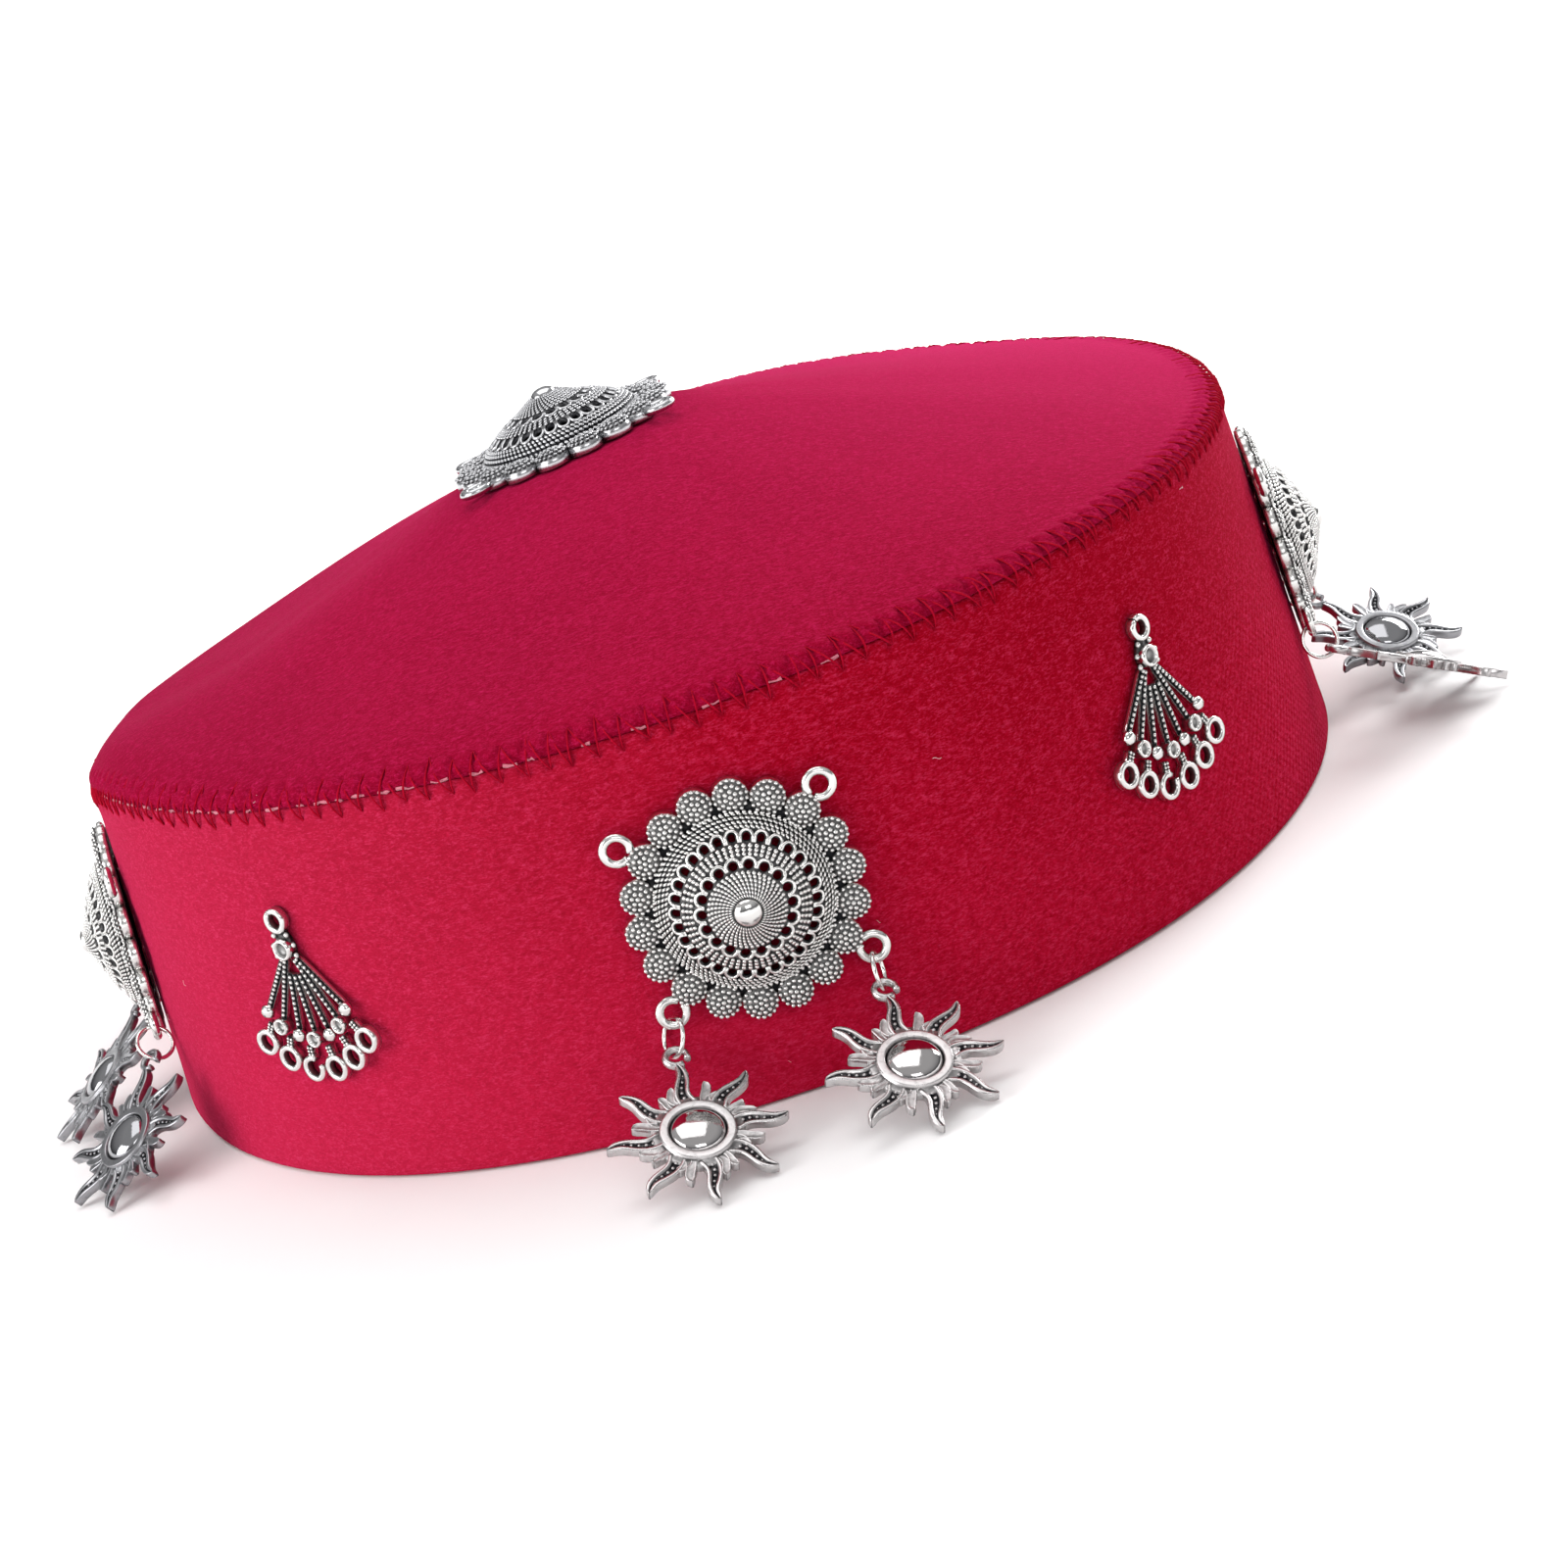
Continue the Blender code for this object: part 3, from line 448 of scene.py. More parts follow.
class Shape:
    """Points and faces of a piece, with how high the casting stands and how polished it is at each point; on
    the velvet the relief sets its painted crease shade.
    """

    def __init__(self, points, corners, sizes, relief=0.9, polish=0.0):
        self.points = np.asarray(points, float).reshape(-1, 3)
        self.corners = np.asarray(corners, np.int32)
        self.sizes = np.asarray(sizes, np.int32)
        count = len(self.points)
        self.relief = np.broadcast_to(np.asarray(relief, float), (count,)).copy()
        self.polish = np.broadcast_to(np.asarray(polish, float), (count,)).copy()

    @classmethod
    def of_mesh(cls, mesh):
        def column(rows, key, count, kind):
            values = np.zeros(count, kind)
            rows.foreach_get(key, values)
            return values

        def level(label, plain):
            count = len(mesh.vertices)
            if label in mesh.attributes:
                return column(mesh.attributes[label].data, "value", count, float)
            return np.full(count, plain)

        points = column(mesh.vertices, "co", 3 * len(mesh.vertices), float)
        corners = column(mesh.loops, "vertex_index", len(mesh.loops), np.int32)
        sizes = column(mesh.polygons, "loop_total", len(mesh.polygons), np.int32)
        return cls(points, corners, sizes, level("relief", 0.9), level("polish", 0.0))

    def __add__(self, other):
        corners = np.concatenate([self.corners, other.corners + len(self.points)])
        return Shape(
            np.concatenate([self.points, other.points]), corners, np.concatenate([self.sizes, other.sizes]),
            np.concatenate([self.relief, other.relief]), np.concatenate([self.polish, other.polish]),
        )

    def moved(self, matrix):
        m = np.array(matrix)
        points = self.points @ m[:3, :3].T + m[:3, 3]
        return Shape(points, self.corners, self.sizes, self.relief, self.polish)

    def mesh(self, name):
        mesh = bpy.data.meshes.new(name)
        mesh.vertices.add(len(self.points))
        mesh.vertices.foreach_set("co", self.points.astype(np.float32).ravel())
        mesh.loops.add(len(self.corners))
        mesh.loops.foreach_set("vertex_index", self.corners)
        mesh.polygons.add(len(self.sizes))
        starts = np.concatenate([[0], np.cumsum(self.sizes)[:-1]]).astype(np.int32)
        mesh.polygons.foreach_set("loop_start", starts)
        mesh.polygons.foreach_set("loop_total", self.sizes)
        for label, values in (("relief", self.relief), ("polish", self.polish)):
            layer = mesh.attributes.new(label, "FLOAT", "POINT")
            layer.data.foreach_set("value", values.astype(np.float32))
        mesh.update(calc_edges=True)
        mesh.validate()
        mesh.shade_smooth()
        return mesh


def total(shapes):
    result = shapes[0]
    for shape in shapes[1:]:
        result = result + shape
    return result


def linked(name, mesh):
    piece = bpy.data.objects.new(name, mesh)
    bpy.context.scene.collection.objects.link(piece)
    return piece


def grow(mesh, tree, **values):
    """The mesh that a Geometry Nodes tree makes from another mesh."""
    helper = linked("helper", mesh)
    modifier = helper.modifiers.new("Grow", "NODES")
    modifier.node_group = tree
    for item in tree.interface.items_tree:
        if item.in_out == "INPUT" and item.name in values:
            modifier[item.identifier] = values[item.name]
    depsgraph = bpy.context.evaluated_depsgraph_get()
    grown = bpy.data.meshes.new_from_object(helper.evaluated_get(depsgraph))
    bpy.data.objects.remove(helper, do_unlink=True)
    return grown


WIRE = wire_tree()
GRAINS = grain_tree()
AROUND = around_tree()
THREAD = thread_tree()
FIBRES = lint_tree()


def wire(path, radius, sides, closed=False):
    """Round wire along a path of points, in the piece's own units."""
    edges = [(i, i + 1) for i in range(len(path) - 1)]
    if closed:
        edges.append((len(path) - 1, 0))
    mesh = bpy.data.meshes.new("path")
    mesh.from_pydata([tuple(point) for point in path], edges, [])
    return Shape.of_mesh(grow(mesh, WIRE, radius=radius, sides=sides))


def euler_of(along, normal):
    """Euler angles that turn X along one direction and Z as near as can be to the normal."""
    x = Vector(along).normalized()
    y = Vector(normal).cross(x).normalized()
    z = x.cross(y)
    return Matrix((x, y, z)).transposed().to_euler("XYZ")


def grains(rows, fineness, lowest, blunt=False):
    """Grains from rows of place, direction along, normal and size."""
    mesh = bpy.data.meshes.new("grain places")
    mesh.from_pydata([tuple(row[0]) for row in rows], [], [])
    sizes = [row[3] for row in rows]
    turns = [euler_of(row[1], row[2]) for row in rows]
    for label, values in (("size", sizes), ("turn", turns)):
        layer = mesh.attributes.new(label, "FLOAT_VECTOR", "POINT")
        layer.data.foreach_set("vector", np.array(values, np.float32).ravel())
    return Shape.of_mesh(grow(mesh, GRAINS, fineness=fineness, lowest=lowest, blunt=blunt))


def around(shape, count):
    return Shape.of_mesh(grow(shape.mesh("sector"), AROUND, count=count))


def grid(points, close_rows=False, relief=0.9, polish=0.0, caps=()):
    """Quads over rows of points that each close on themselves; caps closes the first or last with a point."""
    rows, columns = points.shape[:2]
    index = np.arange(rows * columns).reshape(rows, columns)
    if close_rows:
        index = np.vstack([index, index[:1]])
    index = np.hstack([index, index[:, :1]])
    quads = np.stack([index[:-1, :-1], index[:-1, 1:], index[1:, 1:], index[1:, :-1]], -1).reshape(-1, 4)
    relief = np.broadcast_to(np.asarray(relief, float), (rows, columns)).ravel()
    polish = np.broadcast_to(np.asarray(polish, float), (rows, columns)).ravel()
    flat = [points.reshape(-1, 3)]
    corners = [quads.ravel()]
    sizes = [np.full(len(quads), 4)]
    for which in caps:
        ring = index[which][:columns]
        pole = rows * columns + len(flat) - 1
        flat.append(points[which].mean(0)[None])
        nxt = np.roll(ring, -1)
        order = (nxt, ring) if which == 0 else (ring, nxt)
        corners.append(np.stack([*order, np.full(columns, pole)], -1).ravel())
        sizes.append(np.full(columns, 3))
        relief = np.append(relief, relief[ring[0]])
        polish = np.append(polish, polish[ring[0]])
    return Shape(np.concatenate(flat), np.concatenate(corners), np.concatenate(sizes), relief, polish)


def turned(profile, sides, relief=0.9, polish=0.0, centre=(0.0, 0.0, 0.0)):
    """A turned piece from radius and height pairs; a column of relief may follow each pair."""
    turns = np.arange(sides) * math.tau / sides
    rows = np.array([row[:2] for row in profile])
    radii = rows[:, :1]
    points = np.stack([radii * np.cos(turns), radii * np.sin(turns), np.repeat(rows[:, 1:], sides, 1)], -1)
    points = points + np.array(centre)
    if len(profile[0]) > 2:
        relief = np.array([row[2] for row in profile])[:, None]
    return grid(points, relief=relief, polish=polish, caps=(0, -1))


def prism(outline, low, high, relief=0.9):
    """An upright block over an outline that runs anticlockwise."""
    count = len(outline)
    points = [(x, y, z) for z in (low, high) for x, y in outline]
    faces = [[i, (i + 1) % count, count + (i + 1) % count, count + i] for i in range(count)]
    faces += [list(range(count))[::-1], list(range(count, 2 * count))]
    corners = [corner for face in faces for corner in face]
    return Shape(points, corners, [len(face) for face in faces], relief)


# The hat's surfaces
def seam_table(angle, column):
    """A column of the seam's table at any hat angle, as a smooth closed curve."""
    angle = np.mod(np.asarray(angle, float), 360.0)
    stops = np.array([row.angle for row in SEAM], float)
    values = np.array([getattr(row, column) for row in SEAM], float)
    count = len(SEAM)
    row = np.searchsorted(stops, angle, side="right") - 1

    def station(step):
        laps, k = np.divmod(row + step, count)
        return stops[k] + 360.0 * laps, values[k]

    (a0, v0), (a1, v1), (a2, v2), (a3, v3) = [station(step) for step in (-1, 0, 1, 2)]
    span = a2 - a1
    f = (angle - a1) / span
    slope_in = (v2 - v0) / (a2 - a0) * span
    slope_out = (v3 - v1) / (a3 - a1) * span
    value = v1 * (2 * f**3 - 3 * f**2 + 1) + v2 * (3 * f**2 - 2 * f**3)
    return value + slope_in * (f**3 - 2 * f**2 + f) + slope_out * (f**3 - f**2)


def wall(angle, height, inset=0.0):
    """Points of the band's outer face, or of a face that lies further in."""
    angle, height, inset = np.broadcast_arrays(np.asarray(angle, float), height, inset)
    lean = BAND_LEAN * seam_table(angle, "lean") * height / BAND_HEIGHT + inset
    t = np.radians(angle)
    across = (np.abs(np.sin(t)) / (RIM_HALF_WIDTH - lean)) ** PLAN_ROUNDNESS
    along = (np.abs(np.cos(t)) / (RIM_HALF_LENGTH - lean)) ** PLAN_ROUNDNESS
    r = (across + along) ** (-1.0 / PLAN_ROUNDNESS)
    return np.stack([r * np.sin(t), -r * np.cos(t), height + 0.0 * r], -1)


def seam_height(angle):
    return BAND_HEIGHT * seam_table(angle, "height")


def shoulder_fall(across):
    eased = SLOPE_FALL * SLOPE_EASE
    begun = eased + SHOULDER_FALL * (SHOULDER_START - SLOPE_EASE)
    rest = 1.0 - begun
    straight = SHOULDER_FALL * (1.0 - SHOULDER_START)
    u = np.clip((across - SHOULDER_START) / (1.0 - SHOULDER_START), 0.0, 1.0)
    shoulder = begun + straight * u + (rest - straight) * (1.0 - np.sqrt(1.0 - u * u))
    slope = np.where(across <= SLOPE_EASE, SLOPE_FALL * across, eased + SHOULDER_FALL * (across - SLOPE_EASE))
    return np.where(across > SHOULDER_START, shoulder, slope)


def crown(angle, across):
    """Points of the crown's outer face between its seat, at 0, and its seam, at 1."""
    angle, across = np.broadcast_arrays(np.asarray(angle, float), np.asarray(across, float))
    seam = wall(angle, seam_height(angle) + SEWN_GAP)
    t = np.radians(angle)
    x = SEAT_SHIFT_X + SEAT_RADIUS * np.sin(t)
    y = SEAT_SHIFT_Y - SEAT_RADIUS * np.cos(t)
    z = SEAT_HEIGHT + SEAT_SLOPE_X * (x - SEAT_SHIFT_X) + SEAT_SLOPE_Y * (y - SEAT_SHIFT_Y)
    puff = np.clip(seam_table(angle, "puff"), 0.0, 1.0)
    fall = (1.0 - puff) * across + puff * shoulder_fall(across)
    seat = np.stack([x, y, z], -1)
    point = seat + (seam - seat) * across[..., None]
    point[..., 2] = z + (seam[..., 2] - z) * fall
    return point


def surface_normals(points):
    """Unit normals of a grid of points that closes on itself along its columns."""
    around_way = np.roll(points, -1, 1) - np.roll(points, 1, 1)
    row_way = np.gradient(points, axis=0)
    normals = np.cross(around_way, row_way)
    return normals / np.maximum(np.linalg.norm(normals, axis=-1, keepdims=True), 1e-12)


def ripple(angle, height, seed):
    """A slow unevenness between -1 and 1, as pressed cloth has."""
    t = np.radians(angle)
    r = random.Random(seed)
    value = 0.0
    for turns, rate in ((3, 40.0), (5, 75.0), (9, 60.0), (14, 120.0)):
        value = value + np.sin(turns * t + rate * height + r.uniform(0.0, math.tau)) / 4.0
    return value


def stitch_phase(angle):
    return np.mod(np.asarray(angle, float) * STITCHES / 360.0, 1.0)


def creases(angle, distance, slant):
    """How strongly the thread pulls the pile in, by mm from the seam; slant is the way its legs run."""
    phase = stitch_phase(angle)
    reach = np.clip(distance / 3.1, 0.0, 1.2)

    def near(centre):
        gap = (phase - centre + 0.5) % 1.0 - 0.5
        return np.exp(-((gap / 0.11) ** 2))

    legs = np.maximum(near(slant * 0.18 * reach), 0.55 * near(1.0 - slant * 0.82 * reach))
    return legs * np.exp(-(((distance - 1.5) / 1.7) ** 4))


def stitch_columns():
    """Hat angles of the columns, a fixed number to each stitch."""
    columns = STITCHES * COLUMNS_PER_STITCH
    return np.arange(columns) * 360.0 / columns


def build_band_shape():
    angle = stitch_columns()
    top = seam_height(angle)
    rows = []
    sunk = []
    for share, step, inset in BAND_ROWS:
        height = top * share + step * MM
        point = wall(angle, height, inset * MM)
        outward = point * np.array([1.0, 1.0, 0.0])
        outward /= np.linalg.norm(outward, axis=1, keepdims=True)
        depth = np.maximum((top - height) / MM, 0.0)
        crease = creases(angle, depth * 1.8, 0.0)
        # the relief kept here darkens the velvet in the creases: painted crease shade
        sunk.append(0.95 - 0.42 * crease * (inset < 1.0))
        if inset < 2.0:
            swell = 0.22 * (1.0 - crease) * np.exp(-(((depth - 1.3) / 1.2) ** 2))
            slow = 0.16 * ripple(angle, height, 3)
            flat_foot = min(1.0, height.mean() / 0.004)
            point = point + outward * ((swell - 0.35 * crease + slow * flat_foot) * MM)[:, None]
        rows.append(point)
    return grid(np.array(rows), close_rows=True, relief=np.array(sunk))


def facing_up(normals):
    return normals * np.where(normals[..., 2:3] < 0.0, -1.0, 1.0)


def build_crown_shape():
    angle = stitch_columns()
    across = np.array(CROWN_ROWS)[:, None]
    outer = crown(angle[None], across)
    normals = facing_up(surface_normals(outer))
    seam = outer[-1]
    distance = np.linalg.norm(outer - seam[None], axis=-1) / MM
    fuller = 1.0 + 0.8 * np.exp(-(((angle[None] - 70.0) / 42.0) ** 2))
    crease = creases(angle[None], distance, 1.0)
    puff = 0.34 * fuller * (1.0 - crease) * np.exp(-(((distance - 1.9) / 1.5) ** 2))
    pinch = 0.30 * fuller * crease
    # the relief kept here darkens the velvet in the creases: painted crease shade
    relief = 0.95 - 0.44 * crease
    slow = 0.22 * ripple(angle[None], outer[..., 0] * 0.6, 8) * np.clip(distance / 6.0, 0.0, 1.0)
    tuck = -0.16 * np.exp(-((distance / 0.5) ** 2))
    slow = slow * np.clip((across - 0.02) / 0.2, 0.0, 1.0)
    outer = outer + normals * ((puff - pinch + slow + tuck) * MM)[..., None]
    outer[..., 2] -= 0.18 * MM * np.exp(-((distance / 0.6) ** 2))
    flat = np.array([outer[0].mean(0)])
    inward = [flat + (outer[0] - flat) * share for share in (0.12, 0.5)]
    base = crown(angle[None], np.minimum(across[::-1][1:], 0.985))
    under = (base - CROWN_WALL * facing_up(surface_normals(base)))[::4]
    edge = wall(angle, seam_height(angle) + 0.12 * MM, 0.0006)[None]
    lip = wall(angle, seam_height(angle) + SEWN_GAP, 0.0016)[None]
    rows = np.concatenate([np.array(inward), outer, edge, lip, under])
    level = np.full(rows.shape[:2], 0.95)
    level[2:2 + len(relief)] = relief
    return grid(rows, relief=level, caps=(0, -1))


def stitch_path():
    """The sewing thread: an upright leg and a slanted leg for each stitch, over the seam's edge."""
    points = []
    rng = random.Random(21)
    pitch = 360.0 / STITCHES
    jitter = [(rng.gauss(0.0, 0.10), rng.gauss(0.0, 0.32), rng.gauss(0.0, 0.50)) for _ in range(STITCHES)]

    def low_point(k):
        side, drop, _ = jitter[k % STITCHES]
        angle = pitch * (k + side)
        return wall(angle, seam_height(angle) - STITCH_DROP + drop * MM), angle

    def high_point(k):
        side, _, rise = jitter[k % STITCHES]
        angle = pitch * (k + 0.18 + side)
        near = crown(angle, 1.0)
        far = crown(angle, 0.955)
        share = 1.0 - 0.045 * (STITCH_RISE + rise * MM) / np.linalg.norm(far - near)
        return crown(angle, share), angle

    def leg(start, end, angle):
        edge = wall(angle, seam_height(angle) + SEWN_GAP)
        out = edge * np.array([1.0, 1.0, 0.0])
        out /= np.linalg.norm(out)
        middle = edge + (0.24 * out + np.array([0.0, 0.0, 0.22])) * MM
        control = 2.0 * middle - 0.5 * (start + end)
        for i in range(5):
            f = i / 5.0
            points.append((1 - f) ** 2 * start + 2 * f * (1 - f) * control + f * f * end)

    for k in range(STITCHES):
        low, low_angle = low_point(k)
        high, high_angle = high_point(k)
        following, following_angle = low_point(k + 1)
        leg(low, high, 0.5 * (low_angle + high_angle))
        leg(high, following, 0.5 * (high_angle + following_angle))
    return points


def sewn(name, points, edges, material, **values):
    """A piece of thread along edges between points."""
    mesh = bpy.data.meshes.new(name + "_path")
    mesh.from_pydata([tuple(point) for point in points], edges, [])
    thread = grow(mesh, THREAD, material=material, **values)
    thread.name = name
    return linked(name, thread)


def build_stitches(material):
    points = stitch_path()
    count = len(points)
    edges = [(i, (i + 1) % count) for i in range(count)]
    return sewn("seam_stitches", points, edges, material, radius=THREAD_RADIUS, sides=6, slub=0.2, seed=5)


def build_flecks(material):
    """Short bright shreds of the pale edge that shows in the seam, mostly at the left front."""
    rng = random.Random(9)
    points = []
    edges = []
    angle = FLECKS_FROM
    while angle < FLECKS_TO:
        length = rng.uniform(0.5, 1.5)
        sparse = angle > FLECKS_TO - 26.0 or angle < FLECKS_FROM + 19.0
        gap = rng.uniform(0.5, 2.2) + (2.5 if sparse else 0.0)
        start = len(points)
        for i in range(4):
            turn = angle + length * i / 3.0
            lift = SEWN_GAP * 0.5 + rng.uniform(-0.14, 0.16) * MM
            points.append(tuple(wall(turn, seam_height(turn) + lift, 0.15 * MM)))
        edges += [(start + i, start + i + 1) for i in range(3)]
        angle += length + gap
    return sewn("seam_flecks", points, edges, material, radius=FLECK_RADIUS, sides=5, slub=0.6, seed=3)


def polar(radius, turn):
    t = math.radians(turn)
    return (radius * math.cos(t), radius * math.sin(t))


# The medallion, in millimetres
DOME = ((1.5, 7.1), (1.8, 7.0), (4.3, 5.75), (6.6, 4.85), (7.9, 4.2), (9.3, 3.3), (10.2, 2.5), (10.8, 1.5))


def dome_height(radius):
    radii = [row[0] for row in DOME]
    return float(np.interp(radius, radii, [row[1] for row in DOME]))


def dome_point(radius, turn, lift):
    """A point over the dome, turn in degrees, with the normal there."""
    slope = (dome_height(radius + 0.05) - dome_height(radius - 0.05)) / 0.1
    normal = Vector((*polar(-slope, turn), 1.0)).normalized()
    return Vector((*polar(radius, turn), dome_height(radius))) + normal * lift, normal


def plan_path(points, lift):
    """A path over the dome from flat points."""
    return [dome_point(math.hypot(x, y), math.degrees(math.atan2(y, x)), lift)[0] for x, y in points]


def dome_shell():
    """The thin dome with its two rounds of holes."""
    outer = [(r, z, 0.16) for r, z in DOME] + [(11.0, 1.0, 0.05), (11.6, 0.95, 0.08), (12.4, 0.95, 0.15)]
    under = [(12.4, 0.3, 0.05), (10.5, 0.3, 0.05), (9.9, 1.9, 0.05), (9.0, 2.8, 0.05), (7.7, 3.7, 0.05),
             (4.3, 5.2, 0.05), (1.8, 6.4, 0.05)]
    shape = linked("dome_shell", turned(outer + under, 120).mesh("dome shell"))
    turns = np.arange(12) * math.tau / 12
    hole = [(HOLE_REACH + 0.56 * math.cos(a), 0.56 * math.sin(a)) for a in turns]
    turns = np.radians(np.arange(-90, 91, 22.5))
    arch = [(ARCH_REACH + 0.46 * math.cos(a), 0.47 * math.sin(a)) for a in turns]
    arch += [(8.02, 0.38), (8.02, -0.38)]
    holes = around(prism(hole, 0.5, 7.5).moved(ROUND_HOLE_TURN), PETALS)
    holes = holes + around(prism(arch, 0.5, 7.5), ARCHES)
    cutter = linked("cutter", holes.mesh("cutter"))
    cut = shape.modifiers.new("Holes", "BOOLEAN")
    cut.operation = "DIFFERENCE"
    cut.solver = "EXACT"
    cut.object = cutter
    mesh = bpy.data.meshes.new_from_object(shape.evaluated_get(bpy.context.evaluated_depsgraph_get()))
    for helper in (shape, cutter):
        bpy.data.objects.remove(helper, do_unlink=True)
    result = Shape.of_mesh(mesh)
    height = result.points[:, 2]
    result.relief = np.clip(0.06 + 0.02 * height, 0.05, 0.2)
    return result


def petal():
    """One petal: a bright upright rim, a low dome and rows of grains on it."""
    profile = ((2.18, 0.0, 0.35), (2.26, 0.12, 0.8), (2.27, 0.75, 0.95), (2.18, 1.2, 0.8), (1.9, 1.52, 0.26),
               (1.4, 1.84, 0.22), (0.8, 2.05, 0.20), (0.3, 2.12, 0.20))
    body = turned(profile, 20, centre=(PETAL_RING, 0.0, 0.0))
    rows = []
    for row in GRAIN_ROUNDS:
        for i in range(row.count):
            x, y = polar(row.far, row.turn + 360.0 * i / row.count)
            z = 2.10 - 0.155 * row.far**2
            normal = Vector((0.31 * x, 0.31 * y, 1.0)).normalized()
            rows.append((Vector((PETAL_RING + x, y, z)), ACROSS, normal, (row.size,) * 3))
    return body + grains(rows, 2, 0.08)


def open_loop(centre, radius, thick, start, sweep, steps, sides):
    """A round wire loop with a small split; angles are in degrees."""
    turns = [polar(radius, start + sweep * i / steps) for i in range(steps + 1)]
    return wire([(centre[0] + x, centre[1] + y, centre[2]) for x, y in turns], thick, sides)


def bar(radius, count, turn, slant, length, share, height=0.20, lift=0.02):
    """A row for a bar on the dome: its slant from the radius, and its share of a place among count bars."""
    place, normal = dome_point(radius, turn, lift)
    along = Vector((*polar(1.0, turn + slant), 0.0))
    along = (along - normal * along.dot(normal)).normalized()
    return place, along, normal, (length, share * math.tau * radius / count, height)


def bars(rows, count):
    """Blunt cast bars, repeated round the medallion."""
    return around(grains(rows, 1, 0.05, True), count)


def build_medallion_shape():
    cap = ((1.64, 6.85, 0.4), (1.74, 7.0, 0.9), (1.71, 7.18, 1.0), (1.57, 7.42, 1.0), (1.26, 7.68, 1.0),
           (0.85, 7.87, 1.0), (0.45, 7.97, 1.0))
    parts = [dome_shell(), turned(cap, 28, polish=1.0)]
    # cone of slanted bars under the cap
    radii = (2.02, 2.44, 2.87, 3.3, 3.73, 4.16, 4.56)
    parts.append(bars([bar(r, 44, 2.2 * i, 17.0, 0.28, 0.37) for i, r in enumerate(radii)], 44))
    # inner scallops round the round holes
    turns = np.radians(np.arange(-118, 119, 23.6))
    arc = [(HOLE_REACH + 0.86 * math.cos(a), 0.88 * math.sin(a)) for a in turns]
    parts.append(around(wire(plan_path(arc, 0.08), 0.25, 6).moved(ROUND_HOLE_TURN), PETALS))
    # a round of arches with two beaded ribs under each
    turns = np.radians(np.arange(84, -85, -24))
    arch = [(ARCH_REACH + 0.74 * math.cos(a), 0.78 * math.sin(a)) for a in turns]
    arch = [(7.86, 0.70), *arch, (7.86, -0.70)]
    parts.append(around(wire(plan_path(arch, 0.10), 0.22, 6), ARCHES))
    ribs = [bar(r, 60, offset, 12.0, 0.31, 0.36) for offset in (-3.0, 3.0) for r in (6.64, 7.10, 7.56)]
    parts.append(bars(ribs, ARCHES))
    # outer band of slanted bars and a row of teeth in the groove
    radii = (9.52, 9.94, 10.34, 10.70)
    band = [bar(r, 96, 1.7 * i, 40.0, 0.40, 0.31) for i, r in enumerate(radii)]
    band.append(bar(11.0, 96, 5.4, 8.0, 0.28, 0.34, 0.2, 0.1))
    parts.append(bars(band, 96))
    parts.append(around(petal(), PETALS))
    for angle in LOOP_ANGLES:
        way = 1.0 if angle > 0 else -1.0
        centre = (*polar(LOOP_CENTRE, angle), LOOP_LEVEL)
        start = angle + 180.0 + 14.0 * way
        parts.append(open_loop(centre, LOOP_RADIUS + 0.05, 0.58, start, 336.0 * way, 24, 10))
    return total(parts)


# The sun drop, in millimetres; a finger has a reach, a turn at its root and at its tip, and a half width
Finger = namedtuple("Finger", "reach root tip half")
HOOKED = (Finger(7.9, -1.0, 7.0, 0.60), Finger(6.7, -5.0, -10.0, 0.42))
FORKED = (Finger(7.7, -2.0, -8.0, 0.52), Finger(7.1, 3.0, 9.5, 0.50))


def ribbon(centre, half, thick, rim, sunk, floor_relief):
    """A flat cast strip with raised rims along both sides and a sunk floor between them."""
    centre = np.array(centre, float)
    half = np.array(half, float)
    way = np.gradient(centre, axis=0)
    way /= np.linalg.norm(way, axis=1, keepdims=True)
    side = np.stack([-way[:, 1], way[:, 0]], -1)
    inner = np.maximum(half - rim, 0.25 * half)
    floor = np.where(half > 1.6 * rim, thick - sunk, thick - 0.3 * sunk)
    # each row: how far aside, how high, relief
    flank = [
        (half * 0.92, -thick, 0.4), (half, -thick + 0.12, 0.8), (half, thick - 0.12, 0.95),
        (half - 0.08, thick, 1.0), (inner + 0.04, thick - 0.01, 1.0), (inner - 0.05, floor, floor_relief),
    ]
    section = flank + [(inner * 0.0, floor, floor_relief)] + [(-aside, *rest) for aside, *rest in flank[::-1]]
    columns = [np.column_stack([centre + side * aside[:, None], np.broadcast_to(height, (len(centre),))])
               for aside, height, _ in section]
    relief = [[row[2] for row in section]] * len(centre)
    return grid(np.array(columns).transpose(1, 0, 2), relief=np.array(relief), caps=(0, -1))


def sun_ray(turn, reach):
    """One long wavy ray: broad bright margins, and grains in the dark floor between them."""
    centre = []
    half = []
    for i in range(17):
        s = i / 16.0
        radius = 4.3 + (reach - 4.3) * s
        swing = 2.9 * s + math.degrees(0.50 * math.sin(math.tau * s * 0.92) / radius)
        centre.append(polar(radius, turn + swing))
        half.append((1.16 - 0.50 * s) * math.sqrt(max(0.03, 1.0 - s**7)))
    rows = []
    for i in (3, 5, 7, 9, 11):
        place = Vector((*centre[i], SUN_HALF - 0.22))
        rows.append((place, ACROSS, UPRIGHT, (0.25 - 0.008 * i,) * 3))
    return ribbon(centre, half, SUN_HALF, 0.52, 0.30, 0.10) + grains(rows, 2, 0.7)


